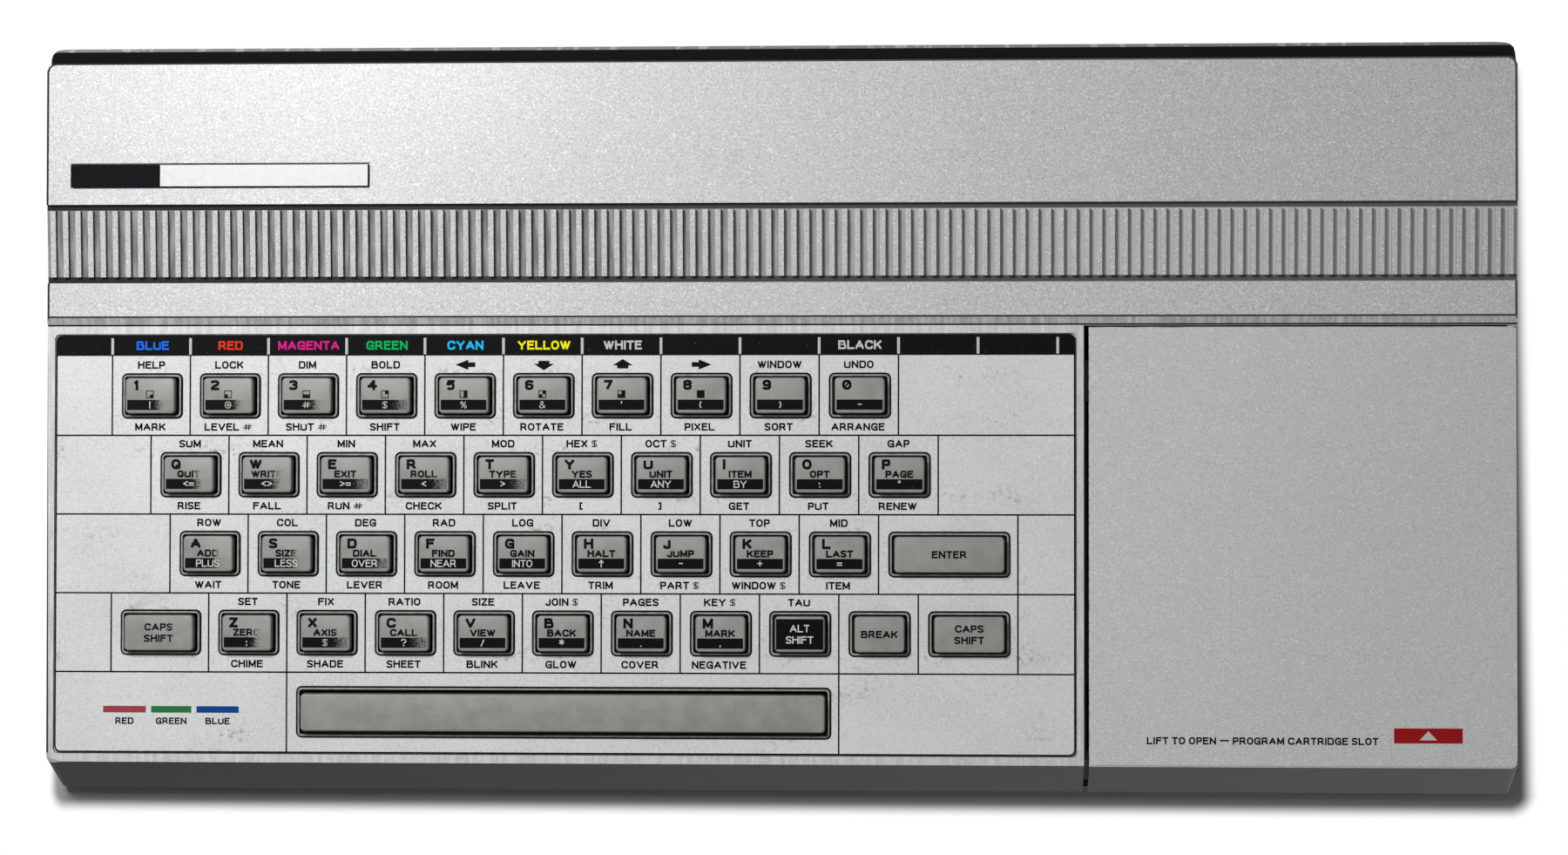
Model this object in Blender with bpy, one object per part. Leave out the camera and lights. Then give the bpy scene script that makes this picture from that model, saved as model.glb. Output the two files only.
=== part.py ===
# A wedge-shaped home computer with a chiclet keyboard and a hinged cartridge cover.
# Metres, +Z up: X runs along the keyboard, Y to the rear, and Z = 0 is the table under the feet.
# Lengths along the sloped keyboard plane are called v, and heights above it w.
import math

import bmesh
import bpy
from mathutils import Matrix, Vector

# Clearances and cutting
fit_gap = 0.0003
overrun = 0.002
merge_distance = 0.00001

# Keyboard grid, on the keyboard plane
key_pitch = 0.0202
key_hole_width = 0.01555
key_hole_depth = 0.0114
key_hole_corner = 0.0011
space_extra_depth = 0.0015
keyboard_rows = [
    (0.0, [(f"key_{digit}", 1.0) for digit in "1234567890"]),
    (0.5, [(f"key_{letter}", 1.0) for letter in "qwertyuiop"]),
    (0.75, [(f"key_{letter}", 1.0) for letter in "asdfghjkl"] + [("key_enter", 1.75)]),
    (0.0, [("key_shift_left", 1.25)] + [(f"key_{letter}", 1.0) for letter in "zxcvbnm"]
     + [("key_symbol_shift", 1.0), ("key_break", 1.0), ("key_shift_right", 1.25)]),
    (2.25, [("key_space", 7.0)]),
]

# Printed keyboard plate and the border of case that shows round it
plate_thickness = 0.0006
plate_corner = 0.0011
plate_left_margin = 0.0173
plate_right_margin = 0.0166
plate_front_margin = 0.0041
plate_rear_margin = 0.0099
border_left = 0.0022
border_right = 0.0021
border_front = 0.0024
border_rear = 0.0024
plate_seat = 0.0035
plate_front_seat = 0.002

# Key frame, keys, mat and backplate
frame_thickness = 0.002
frame_rim_wall = 0.00045
frame_rim_rise = 0.0005
frame_skirt_wall = 0.0012
frame_skirt_drop = 0.0046
key_side_play = 0.0003
key_base_height = 0.0036
key_top_height = 0.0032
key_top_inset_x = 0.00045
key_top_inset_y = 0.00015
key_edge_round = 0.0004
key_corner = 0.0009
key_flange_reach = 0.0008
key_flange_thickness = 0.001
key_travel = 0.002
mat_thickness = 0.0008
backplate_thickness = 0.001
backplate_reach = 0.001

# Case profile, from the front edge of the keyboard plane to the rear
plane_slope = math.radians(6.5)
front_edge_height = 0.0215
front_rake = 0.0057
skirt_height = 0.004
step_run = 0.0022
step_rise = 0.0013
strip_length = 0.0087
front_groove_width = 0.0017
rib_length = 0.017
rear_groove_width = 0.0014
deck_rise = 0.003
deck_length = 0.0366
ledge_drop = 0.0045
ledge_run = 0.0045
channel_depth = 0.0016
wall = 0.0024
rear_corner_radius = 0.0025
front_corner_radius = 0.0018
edge_round = 0.0007

# Ribs of the vent strip
rib_pitch = 0.003229
rib_width = 0.00135
rib_end_margin = 0.0008
rib_sink = 0.0004

# Name badge
badge_left_margin = 0.0067
badge_width = 0.0768
badge_height = 0.0059
badge_thickness = 0.0009
badge_pocket_depth = 0.0006
badge_from_deck_front = 0.0044

# Cartridge cover, its hinge and the well under it
door_gap = 0.0013
door_width = 0.1078
door_thickness = 0.0025
door_rear_gap = 0.0004
door_step_lip = 0.0002
door_edge_round = 0.0003
door_front_wall = 0.0022
hinge_setback = 0.0034
hinge_depth = 0.0032
hinge_barrel_radius = 0.002
hinge_pin_radius = 0.0008
hinge_running_gap = 0.00008
hinge_ear_radius = 0.0015
hinge_ear_width = 0.002
hinge_ear_play = 0.0004
hinge_ear_clearance = 0.0006
hinge_pocket_play = 0.0005
hinge_cheek_inset = 0.0002
hinge_cheek_cover = 0.0005
hinge_gusset_drop = 0.0075
hinge_gusset_top = 0.0046
hinge_gusset_flare = 0.003
well_wall = 0.0022
well_ledge = 0.0006
well_floor_height = 0.0095

# Lower case half
floor_height = 0.0015
floor_thickness = 0.0022
bottom_inset = 0.0013
lip_height = 0.0050
lip_wall = 0.0018
lip_front_play = 0.0008
foot_radius = 0.006
foot_inset_x = 0.03
foot_inset_y = 0.022
post_radius = 0.0034
post_wall_gap = 0.0006
screw_hole_radius = 0.0015
screw_head_radius = 0.0029
screw_head_depth = 0.0012
screw_hole_depth = 0.009
standoff_radius = 0.0028
vent_slot_count = 10
vent_slot_width = 0.0025
vent_slot_length = 0.03
vent_slot_pitch = 0.006
vent_left = 0.085
vent_front = 0.04

# Main board and what stands on it
board_bottom_height = 0.011
board_thickness = 0.0016
board_side_clearance = 0.013
board_rear_clearance = 0.0085
board_front_reach = 0.048
tongue_left = 0.0205
tongue_width = 0.082
tongue_end_inset = 0.0012
edge_slot_margin = 0.0028
edge_slot_height = 0.0132
chip_height = 0.0038
beeper_radius = 0.011
beeper_height = 0.009
modulator_size = (0.046, 0.034, 0.018)
modulator_right_inset = 0.0285
jack_ring_radius = 0.0042
jack_bore_radius = 0.0017
jack_bore_depth = 0.007
jack_length = 0.0082
jack_block_gap = 0.014
jack_block_width = 0.074
jack_block_depth = 0.014
jack_block_height = 0.016
phono_socket_radius = 0.0018
power_socket_radius = 0.0031
power_pin_radius = 0.001
socket_spacing = 0.017
tunnel_margin = 0.0012
tunnel_wall = 0.0016
heatsink_size = (0.05, 0.02, 0.02)
heatsink_left = -0.065
heatsink_rear_inset = 0.028
heatsink_fin_count = 7
heatsink_base = 0.003
heatsink_fin_wall = 0.0016

# Cartridge connector in the well
connector_width = 0.0105
connector_length = 0.07
connector_height = 0.011
connector_slot_width = 0.0022
connector_slot_depth = 0.008
connector_slot_inset = 0.003
connector_front_inset = 0.02

# Joystick sockets
port_flange_length = 0.031
port_flange_height = 0.0125
port_flange_thickness = 0.0012
port_flange_depth = 0.0062
port_shell_length = 0.0168
port_shell_height = 0.0082
port_shell_taper = 0.0014
port_shell_wall = 0.0006
port_shell_reach = 0.0055
port_body_depth = 0.0095
port_body_length = 0.019
port_from_rear = 0.049
port_window_length = 0.0345
port_window_height = 0.0148

# Power rocker and channel slider
rocker_length = 0.0172
rocker_height = 0.0106
rocker_swing = math.radians(8.0)
rocker_face_height = 0.0026
rocker_pivot_depth = 0.0052
rocker_drum_radius = 0.0046
rocker_end_play = 0.0007
rocker_from_rear = 0.0203
rocker_centre_height = 0.0245
slider_knob_width = 0.0034
slider_knob_height = 0.0027
slider_base_width = 0.0066
slider_base_height = 0.006
slider_base_thickness = 0.0012
slider_travel = 0.0045
slider_left = -0.05
slider_centre_height = 0.0215
slider_knob_inset = 0.0004

# Sizes that follow from the ones above
row_count = len(keyboard_rows)
field_pitches = max(start + sum(width for name, width in keys) for start, keys in keyboard_rows) - 1.0
overlay_width = plate_left_margin + field_pitches * key_pitch + key_hole_width + plate_right_margin
panel_width = border_left + overlay_width + border_right
body_width = panel_width + door_gap + door_width
half_width = body_width / 2
overlay_left = -half_width + border_left
overlay_right = overlay_left + overlay_width
panel_right = -half_width + panel_width
door_left = panel_right + door_gap
first_key_x = overlay_left + plate_left_margin + key_hole_width / 2

plate_front_v = border_front
space_row_v = plate_front_v + plate_front_margin + (key_hole_depth + space_extra_depth) / 2
top_row_v = space_row_v + (row_count - 1) * key_pitch
plate_rear_v = top_row_v + key_hole_depth / 2 + plate_rear_margin
panel_length = plate_rear_v + border_rear
strip_v = panel_length + step_run
channel_v = strip_v + strip_length
channel_length = front_groove_width + rib_length + rear_groove_width
deck_v = channel_v + channel_length
deck_rear_v = deck_v + deck_length
slope_cos = math.cos(plane_slope)
slope_sin = math.sin(plane_slope)
body_depth = front_rake + deck_rear_v * slope_cos - deck_rise * slope_sin + ledge_run
half_depth = body_depth / 2
front_edge_y = -half_depth + front_rake
deck_rear_y = half_depth - ledge_run
deck_rear_z = front_edge_height + deck_rear_v * slope_sin + deck_rise * slope_cos
ledge_z = deck_rear_z - ledge_drop

frame_top_w = -plate_thickness - fit_gap
frame_bottom_w = frame_top_w - frame_thickness
skirt_bottom_w = frame_bottom_w - frame_skirt_drop
backplate_top_w = skirt_bottom_w - fit_gap
flange_top_w = frame_bottom_w - fit_gap
flange_bottom_w = flange_top_w - key_flange_thickness
mat_top_w = backplate_top_w + fit_gap + mat_thickness
board_top_height = board_bottom_height + board_thickness
part_seat_height = board_top_height + fit_gap
board_rear_y = half_depth - board_rear_clearance
board_left = -half_width + board_side_clearance
board_right = half_width - board_side_clearance
modulator_left = board_right - modulator_right_inset - modulator_size[0]
jack_block_left = modulator_left - jack_block_gap - jack_block_width
door_space_v = panel_length - door_step_lip
door_rear_v = door_space_v - door_rear_gap
hinge_v = door_rear_v - hinge_setback
sweep_radius = math.hypot(hinge_setback, hinge_depth) + fit_gap
well_front_offset = door_front_wall + fit_gap


def plane_point(v, w):
    """World Y and Z of a point on the keyboard plane."""
    return (front_edge_y + v * slope_cos - w * slope_sin, front_edge_height + v * slope_sin + w * slope_cos)


hinge_y, hinge_z = plane_point(hinge_v, -hinge_depth)
well_rear_y = hinge_y + sweep_radius / 2
well_back_y = hinge_y + sweep_radius + well_wall
well_left = panel_right + well_ledge
port_centre_y = half_depth - port_from_rear
rake_ratio = front_rake / (front_edge_height - skirt_height)


def rake_y(z, offset):
    """Y of the raked front face at height z, moved in by offset."""
    return -half_depth + offset + rake_ratio * (z - skirt_height)


def rake_meets(offset, w):
    """The v at which the raked face, moved in by offset, meets the height w."""
    return (offset + w * (rake_ratio * slope_cos + slope_sin)) / (slope_cos - rake_ratio * slope_sin)


def hinge_arc(radius, first_degrees, last_degrees, steps):
    """Points of an arc about the hinge axis; angles are taken from the keyboard plane."""
    points = []
    for step in range(steps + 1):
        angle = plane_slope + math.radians(first_degrees + (last_degrees - first_degrees) * step / steps)
        points.append((hinge_y + radius * math.cos(angle), hinge_z + radius * math.sin(angle)))
    return points


for old in list(bpy.data.objects):
    bpy.data.objects.remove(old)

parts = bpy.data.collections.new("home_computer")
cutters = bpy.data.collections.new("cutters")
bpy.context.scene.collection.children.link(parts)
bpy.context.scene.collection.children.link(cutters)


def empty(name, location, rotation_x=0.0, parent=None):
    frame = bpy.data.objects.new(name, None)
    parts.objects.link(frame)
    frame.parent = parent
    frame.location = location
    frame.rotation_euler = (rotation_x, 0.0, 0.0)
    return frame


keyboard_plane = empty("keyboard_plane", (0.0, front_edge_y, front_edge_height), plane_slope)
rib_slope = math.atan2(deck_rise - step_rise, channel_length)
rib_frame = empty("rib_frame", (0.0, channel_v, step_rise - channel_depth), rib_slope, keyboard_plane)


def material(name, colour, roughness, metallic=0.0):
    made = bpy.data.materials.new(name)
    made.use_nodes = True
    shader = made.node_tree.nodes["Principled BSDF"]
    shader.inputs["Base Color"].default_value = (*colour, 1.0)
    shader.inputs["Roughness"].default_value = roughness
    shader.inputs["Metallic"].default_value = metallic
    made.diffuse_color = (*colour, 1.0)
    return made


dark_plastic = (0.03, 0.03, 0.028)
black_plastic = (0.012, 0.012, 0.012)


def mesh_object(name, mesh, parent=None, location=(0.0, 0.0, 0.0), finish=None, rotation=(0.0, 0.0, 0.0)):
    """A part when it has a finish, a hidden cutter when it has none."""
    made = bpy.data.objects.new(name, mesh)
    made.parent = parent
    made.location = location
    made.rotation_euler = rotation
    if finish is None:
        cutters.objects.link(made)
        made.hide_render = True
        made.display_type = "WIRE"
    else:
        parts.objects.link(made)
        made.data.materials.append(material(name, *finish))
    return made


def finish_mesh(bm, name):
    mesh = bpy.data.meshes.new(name)
    bmesh.ops.recalc_face_normals(bm, faces=bm.faces)
    bm.to_mesh(mesh)
    bm.free()
    return mesh


def add_block(bm, low, high, corner=0.0, corner_segments=1):
    """A box, with its upright corners rounded when corner is set."""
    size = [b - a for a, b in zip(low, high)]
    centre = [(a + b) / 2 for a, b in zip(low, high)]
    cube = bmesh.ops.create_cube(bm, size=1.0)
    bmesh.ops.scale(bm, verts=cube["verts"], vec=size)
    bmesh.ops.translate(bm, verts=cube["verts"], vec=centre)
    if corner:
        edges = {edge for vert in cube["verts"] for edge in vert.link_edges}
        upright = [edge for edge in edges if abs(edge.verts[0].co.z - edge.verts[1].co.z) > merge_distance]
        bmesh.ops.bevel(bm, geom=upright, offset=corner, segments=corner_segments, profile=0.5,
                        affect="EDGES")


def add_drum(bm, centre, radius, length, axis="Z", sides=24, radius_end=None):
    """A cylinder or cone round centre, along one axis."""
    turn = {"X": Matrix.Rotation(math.pi / 2, 4, "Y"), "Y": Matrix.Rotation(-math.pi / 2, 4, "X"),
            "Z": Matrix.Identity(4)}[axis]
    bmesh.ops.create_cone(bm, cap_ends=True, segments=sides, radius1=radius,
                          radius2=radius if radius_end is None else radius_end, depth=length,
                          matrix=Matrix.Translation(centre) @ turn)


def blocks_mesh(name, blocks, corner=0.0, corner_segments=1):
    bm = bmesh.new()
    for low, high in blocks:
        add_block(bm, low, high, corner, corner_segments)
    return finish_mesh(bm, name)


def drums_mesh(name, drums):
    bm = bmesh.new()
    for drum in drums:
        add_drum(bm, *drum)
    return finish_mesh(bm, name)


def outline_mesh(name, points, thickness, matrix):
    """A flat outline given a thickness, as a closed mesh."""
    curve = bpy.data.curves.new(name, "CURVE")
    curve.dimensions = "2D"
    curve.fill_mode = "BOTH"
    curve.extrude = thickness / 2
    spline = curve.splines.new("POLY")
    spline.points.add(len(points) - 1)
    for point, (a, b) in zip(spline.points, points):
        point.co = (a, b, 0.0, 1.0)
    spline.use_cyclic_u = True
    holder = bpy.data.objects.new(name, curve)
    cutters.objects.link(holder)
    bpy.context.view_layer.update()
    evaluated = holder.evaluated_get(bpy.context.evaluated_depsgraph_get())
    mesh = bpy.data.meshes.new_from_object(evaluated)
    bpy.data.objects.remove(holder)
    bm = bmesh.new()
    bm.from_mesh(mesh)
    bmesh.ops.remove_doubles(bm, verts=bm.verts, dist=merge_distance)
    bmesh.ops.dissolve_limit(bm, angle_limit=math.radians(0.5), verts=bm.verts, edges=bm.edges)
    bm.transform(matrix)
    bmesh.ops.recalc_face_normals(bm, faces=bm.faces)
    if bm.calc_volume(signed=True) < 0.0:
        bmesh.ops.reverse_faces(bm, faces=bm.faces)
    bm.to_mesh(mesh)
    bm.free()
    return mesh


def side_profile(name, points, left, right, origin=(0.0, 0.0, 0.0)):
    """A profile in Y and Z, drawn out from left to right."""
    to_world = Matrix(((0, 0, 1, 0), (1, 0, 0, 0), (0, 1, 0, 0), (0, 0, 0, 1)))
    shift = Matrix.Translation(Vector(((left + right) / 2, 0.0, 0.0)) - Vector(origin))
    return outline_mesh(name, points, right - left, shift @ to_world)


def round_edges(mesh, chosen, width, segments):
    """Rounds the edges that the test picks."""
    bm = bmesh.new()
    bm.from_mesh(mesh)
    bm.normal_update()
    edges = [edge for edge in bm.edges if chosen(edge)]
    bmesh.ops.bevel(bm, geom=edges, offset=width, segments=segments, profile=0.5, affect="EDGES")
    bm.to_mesh(mesh)
    bm.free()


def boolean(target, tool, operation):
    modifier = target.modifiers.new(f"{operation.lower()} {tool.name}", "BOOLEAN")
    modifier.operation = operation
    modifier.object = tool
    modifier.solver = "EXACT"


def cut(target, mesh, parent=None, location=(0.0, 0.0, 0.0)):
    boolean(target, mesh_object(mesh.name, mesh, parent, location), "DIFFERENCE")


def join(target, mesh, parent=None, location=(0.0, 0.0, 0.0)):
    boolean(target, mesh_object(mesh.name, mesh, parent, location), "UNION")


def near(value, goal):
    return abs(value - goal) < merge_distance


def at_side(edge):
    """An edge that lies in one of the two side faces."""
    first, second = [vert.co.x for vert in edge.verts]
    return near(abs(first), half_width) and near(first, second)


def perimeter_top(edge):
    """An edge between an upward face and a wall at the rim of the case."""
    if len(edge.link_faces) != 2:
        return False
    lower, upper = sorted(edge.link_faces, key=lambda face: face.normal.z)
    middle = (edge.verts[0].co + edge.verts[1].co) / 2
    at_rim = half_width - abs(middle.x) < rear_corner_radius or near(middle.y, deck_rear_y)
    above_front = middle.z > front_edge_height - fit_gap
    return upper.normal.z > 0.9 and abs(lower.normal.z) < 0.6 and at_rim and above_front


# Upper case half: a wedge with a channel for the ribs
top_profile = [
    (-half_depth, skirt_height),
    plane_point(0.0, 0.0),
    plane_point(panel_length, 0.0),
    plane_point(strip_v, step_rise),
    plane_point(channel_v, step_rise),
    plane_point(channel_v, step_rise - channel_depth),
    plane_point(deck_v, deck_rise - channel_depth),
    plane_point(deck_v, deck_rise),
    (deck_rear_y, deck_rear_z),
    (deck_rear_y, ledge_z),
    (half_depth, ledge_z),
    (half_depth, skirt_height),
]
top_mesh = side_profile("top_shell", top_profile, -half_width, half_width)
round_edges(top_mesh, lambda edge: at_side(edge) and all(near(vert.co.y, half_depth) for vert in edge.verts),
            rear_corner_radius, 3)
round_edges(top_mesh, lambda edge: at_side(edge) and all(near(vert.co.y, deck_rear_y) for vert in edge.verts),
            rear_corner_radius, 3)
round_edges(top_mesh, lambda edge: at_side(edge) and all(vert.co.y < front_edge_y + merge_distance
                                                       for vert in edge.verts), front_corner_radius, 3)
round_edges(top_mesh, perimeter_top, edge_round, 1)
top_shell = mesh_object("top_shell", top_mesh, finish=((0.62, 0.62, 0.61), 0.42, 0.35))

inner_profile = [
    (-half_depth + wall, skirt_height - overrun),
    (-half_depth + wall, skirt_height),
    plane_point(wall, -wall),
    plane_point(strip_v, -wall),
    plane_point(channel_v, step_rise - channel_depth - wall),
    plane_point(deck_v, deck_rise - channel_depth - wall),
    plane_point(deck_v + wall, deck_rise - wall),
    plane_point(deck_rear_v - wall, deck_rise - wall),
    (deck_rear_y - wall, ledge_z - wall),
    (half_depth - wall, ledge_z - wall),
    (half_depth - wall, skirt_height - overrun),
]
cut(top_shell, side_profile("case_cavity", inner_profile, -half_width + wall, half_width - wall))

# Cartridge well, a moulded pocket with its left wall under the edge of the keyboard panel
well_bottom = well_floor_height - well_wall
well_block = [
    (rake_y(well_bottom, well_front_offset), well_bottom),
    (rake_y(front_edge_height - wall, well_front_offset), front_edge_height - wall),
    plane_point(hinge_v, -wall / 2),
    (well_back_y, plane_point(strip_v, -wall / 2)[1]),
    (well_back_y, well_bottom),
]
join(top_shell, side_profile("well_block", well_block, panel_right - well_wall, half_width - wall / 2))
well_pocket = [
    (rake_y(well_floor_height, well_front_offset + well_wall), well_floor_height),
    (rake_y(front_edge_height, well_front_offset + well_wall), front_edge_height),
    (hinge_y, hinge_z),
    (well_rear_y, hinge_z),
    (well_rear_y, well_floor_height),
]
cut(top_shell, side_profile("well_pocket", well_pocket, well_left, half_width - wall))

# The space that the cover fills: its front wall, its plate, and round the hinge what its rear edge sweeps
space_w = -door_thickness - fit_gap
arc_first = math.degrees(math.acos((door_space_v - hinge_v) / sweep_radius))
arc_last = -180.0 - math.degrees(math.asin((space_w + hinge_depth) / sweep_radius))
cover_space = [
    (-half_depth - overrun, skirt_height - overrun),
    (rake_y(skirt_height - overrun, well_front_offset), skirt_height - overrun),
    plane_point(rake_meets(well_front_offset, space_w), space_w),
]
cover_space += reversed(hinge_arc(sweep_radius, arc_first, arc_last, 18))
cover_space += [plane_point(door_space_v, door_thickness),
                (-half_depth - overrun, front_edge_height + overrun)]
cut(top_shell, side_profile("cover_space", cover_space, panel_right, half_width + overrun))

# Two ears on the rear wall of the well carry the hinge pin
ear_arc = [(hinge_ear_radius * math.cos(angle), hinge_ear_radius * math.sin(angle))
           for angle in [math.pi * step / 6 for step in range(7)]]
ear_outline = ear_arc + [
    (-hinge_ear_radius, -hinge_gusset_drop),
    (sweep_radius, -hinge_gusset_drop - hinge_gusset_flare),
    (sweep_radius, -hinge_gusset_top),
    (hinge_ear_radius, -hinge_gusset_top),
]
ear_points = [(hinge_y + a * slope_cos - b * slope_sin, hinge_z + a * slope_sin + b * slope_cos)
              for a, b in ear_outline]
left_ear_x = door_left + hinge_ear_clearance
right_ear_x = half_width - wall - hinge_ear_clearance - hinge_ear_width
for side, ear_x in (("left", left_ear_x), ("right", right_ear_x)):
    join(top_shell, side_profile(f"hinge_ear_{side}", ear_points, ear_x, ear_x + hinge_ear_width))
pin_left = left_ear_x - fit_gap
pin_right = right_ear_x + hinge_ear_width + fit_gap
pin_middle = ((pin_left + pin_right) / 2, hinge_y, hinge_z)
ear_bore_length = pin_right - pin_left + overrun
pin_bore_radius = hinge_pin_radius + hinge_running_gap
ear_bore = drums_mesh("ear_bore", [(pin_middle, pin_bore_radius, ear_bore_length, "X", 16)])
cut(top_shell, ear_bore)

# Recess and window for the keyboard, and the pocket of the badge
cut(top_shell, blocks_mesh("plate_recess", [
    ((overlay_left - fit_gap, plate_front_v - fit_gap, -plate_thickness - fit_gap),
     (overlay_right + fit_gap, plate_rear_v + fit_gap, overrun))], plate_corner, 2), keyboard_plane)
window_low = (overlay_left + plate_seat, plate_front_v + plate_front_seat)
window_high = (overlay_right - plate_seat, plate_rear_v - plate_seat)
cut(top_shell, blocks_mesh("keyboard_window", [((*window_low, -wall - overrun), (*window_high, overrun))]),
    keyboard_plane)
badge_left = -half_width + badge_left_margin
badge_front_v = deck_v + badge_from_deck_front
badge_low = (badge_left, badge_front_v)
badge_high = (badge_left + badge_width, badge_front_v + badge_height)
badge_floor_w = deck_rise - badge_pocket_depth
cut(top_shell, blocks_mesh("badge_pocket", [
    ((badge_low[0] - fit_gap, badge_low[1] - fit_gap, badge_floor_w),
     (badge_high[0] + fit_gap, badge_high[1] + fit_gap, deck_rise + overrun))]), keyboard_plane)

# Ribs of the vent strip
rib_count = int((body_width - rib_width - 2 * rib_end_margin) / rib_pitch) + 1
rib_start = -((rib_count - 1) * rib_pitch + rib_width) / 2
rib_blocks = []
for index in range(rib_count):
    rib_x = rib_start + index * rib_pitch
    rib_blocks.append(((rib_x, front_groove_width, -rib_sink),
                       (rib_x + rib_width, front_groove_width + rib_length, channel_depth)))
join(top_shell, blocks_mesh("vent_ribs", rib_blocks), rib_frame)

# Openings in the rear wall: tunnels for the jacks, the edge connector slot and the slider slot
tunnel_inner_y = board_rear_y + fit_gap
jack_windows = [
    (jack_block_left + tunnel_margin, jack_block_left + jack_block_width - tunnel_margin),
    (modulator_left + tunnel_margin, modulator_left + modulator_size[0] - tunnel_margin),
]
tunnel_low_z = part_seat_height + tunnel_margin
tunnel_high_z = part_seat_height + jack_block_height - tunnel_margin
tunnel_outer = [((left - tunnel_wall, tunnel_inner_y, tunnel_low_z - tunnel_wall),
                 (right + tunnel_wall, half_depth - wall / 2, tunnel_high_z + tunnel_wall))
                for left, right in jack_windows]
join(top_shell, blocks_mesh("jack_tunnels", tunnel_outer))
tongue_x = -half_width + tongue_left
edge_slot_low_z = board_bottom_height + (board_thickness - edge_slot_height) / 2
slot_low_x = tongue_x - edge_slot_margin
slot_high_x = tongue_x + tongue_width + edge_slot_margin
slider_slot_low = slider_left - slider_knob_width / 2 - fit_gap
slider_slot_high = slider_left + slider_travel + slider_knob_width / 2 + fit_gap
slider_slot_half = slider_knob_height / 2 + fit_gap
rear_cuts = [((left, tunnel_inner_y - overrun, tunnel_low_z), (right, half_depth + overrun, tunnel_high_z))
             for left, right in jack_windows]
rear_cuts.append(((slot_low_x, half_depth - wall - overrun, edge_slot_low_z),
                  (slot_high_x, half_depth + overrun, edge_slot_low_z + edge_slot_height)))
rear_cuts.append(((slider_slot_low, half_depth - wall - overrun, slider_centre_height - slider_slot_half),
                  (slider_slot_high, half_depth + overrun, slider_centre_height + slider_slot_half)))
cut(top_shell, blocks_mesh("rear_openings", rear_cuts))

# Openings in the side walls: joystick sockets and the rocker
port_centre_z = part_seat_height + port_flange_height / 2
rocker_y = half_depth - rocker_from_rear
port_window_half = (port_window_length / 2, port_window_height / 2)
rocker_window_half = (rocker_length / 2 + rocker_end_play, rocker_height / 2 + fit_gap)
side_cuts = []
for side in (-1, 1):
    inner_x = side * (half_width - wall - overrun)
    outer_x = side * (half_width + overrun)
    side_cuts.append(((min(inner_x, outer_x), port_centre_y - port_window_half[0],
                       port_centre_z - port_window_half[1]),
                      (max(inner_x, outer_x), port_centre_y + port_window_half[0],
                       port_centre_z + port_window_half[1])))
side_cuts.append(((half_width - wall - overrun, rocker_y - rocker_window_half[0],
                   rocker_centre_height - rocker_window_half[1]),
                  (half_width + overrun, rocker_y + rocker_window_half[0],
                   rocker_centre_height + rocker_window_half[1])))
cut(top_shell, blocks_mesh("side_openings", side_cuts))

# Cartridge cover: its plate and front wall are one profile, with the origin on the hinge axis
hinge_point = (0.0, hinge_y, hinge_z)
cover_profile = [
    (-half_depth, skirt_height),
    plane_point(0.0, 0.0),
    plane_point(door_rear_v, 0.0),
    plane_point(door_rear_v, -door_thickness),
    plane_point(rake_meets(door_front_wall, -door_thickness), -door_thickness),
    (-half_depth + door_front_wall, skirt_height),
]
cover_mesh = side_profile("cartridge_door", cover_profile, door_left, half_width, hinge_point)


def cover_front_corner(edge):
    """The right edge of the raked front face."""
    on_right = all(near(vert.co.x, half_width) for vert in edge.verts)
    return on_right and any(face.normal.y < -0.9 for face in edge.link_faces)


def cover_rim(edge):
    """The long edges round the upper face of the cover."""
    if len(edge.link_faces) != 2:
        return False
    lower, upper = sorted(edge.link_faces, key=lambda face: face.normal.z)
    return upper.normal.z > 0.9 and abs(lower.normal.z) < 0.6


round_edges(cover_mesh, cover_front_corner, front_corner_radius, 3)
round_edges(cover_mesh, cover_rim, door_edge_round, 1)
cartridge_door = mesh_object("cartridge_door", cover_mesh, location=hinge_point,
                             finish=((0.6, 0.6, 0.6), 0.42, 0.35))
pocket_w = hinge_ear_radius + hinge_ear_clearance - hinge_depth
ear_pockets = [((ear_x - hinge_pocket_play, hinge_v - hinge_ear_radius - 2 * hinge_ear_clearance,
                 -door_thickness - overrun),
                (ear_x + hinge_ear_width + hinge_pocket_play, panel_length, pocket_w))
               for ear_x in (left_ear_x, right_ear_x)]
cut(cartridge_door, blocks_mesh("ear_pockets", ear_pockets), keyboard_plane)
cheek_radius = sweep_radius - fit_gap
cheek_first = math.degrees(math.asin((hinge_depth - hinge_cheek_cover) / cheek_radius))
cheek_outline = hinge_arc(cheek_radius, cheek_first, -180.0 - cheek_first, 20)
join(cartridge_door, side_profile("hinge_cheek", cheek_outline, half_width - wall,
                                  half_width - hinge_cheek_inset))
barrel_left = left_ear_x + hinge_ear_width + hinge_ear_play
barrel_right = right_ear_x - hinge_ear_play
barrel_middle = ((barrel_left + barrel_right) / 2, hinge_y, hinge_z)
join(cartridge_door, drums_mesh("hinge_barrel", [(barrel_middle, hinge_barrel_radius,
                                                  barrel_right - barrel_left, "X", 20)]))
barrel_bore_length = barrel_right - barrel_left + overrun
cut(cartridge_door, drums_mesh("barrel_bore", [
    (barrel_middle, pin_bore_radius, barrel_bore_length, "X", 16)]))

hinge_pin = mesh_object("hinge_pin", drums_mesh("hinge_pin", [
    ((pin_middle[0], 0.0, 0.0), hinge_pin_radius, pin_right - pin_left, "X", 16)]),
    location=hinge_point, finish=((0.55, 0.55, 0.56), 0.3, 1.0))

# Keys: where each one stands and how large its hole in the printed plate is
key_places = []
for row, (start, keys) in enumerate(keyboard_rows):
    along = start
    row_v = top_row_v - row * key_pitch
    for name, width in keys:
        extra = space_extra_depth if name == "key_space" else 0.0
        centre_x = first_key_x + (along + (width - 1.0) / 2) * key_pitch
        hole = (key_hole_width + (width - 1.0) * key_pitch, key_hole_depth + extra)
        key_places.append((name, centre_x, row_v, hole))
        along += width


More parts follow.
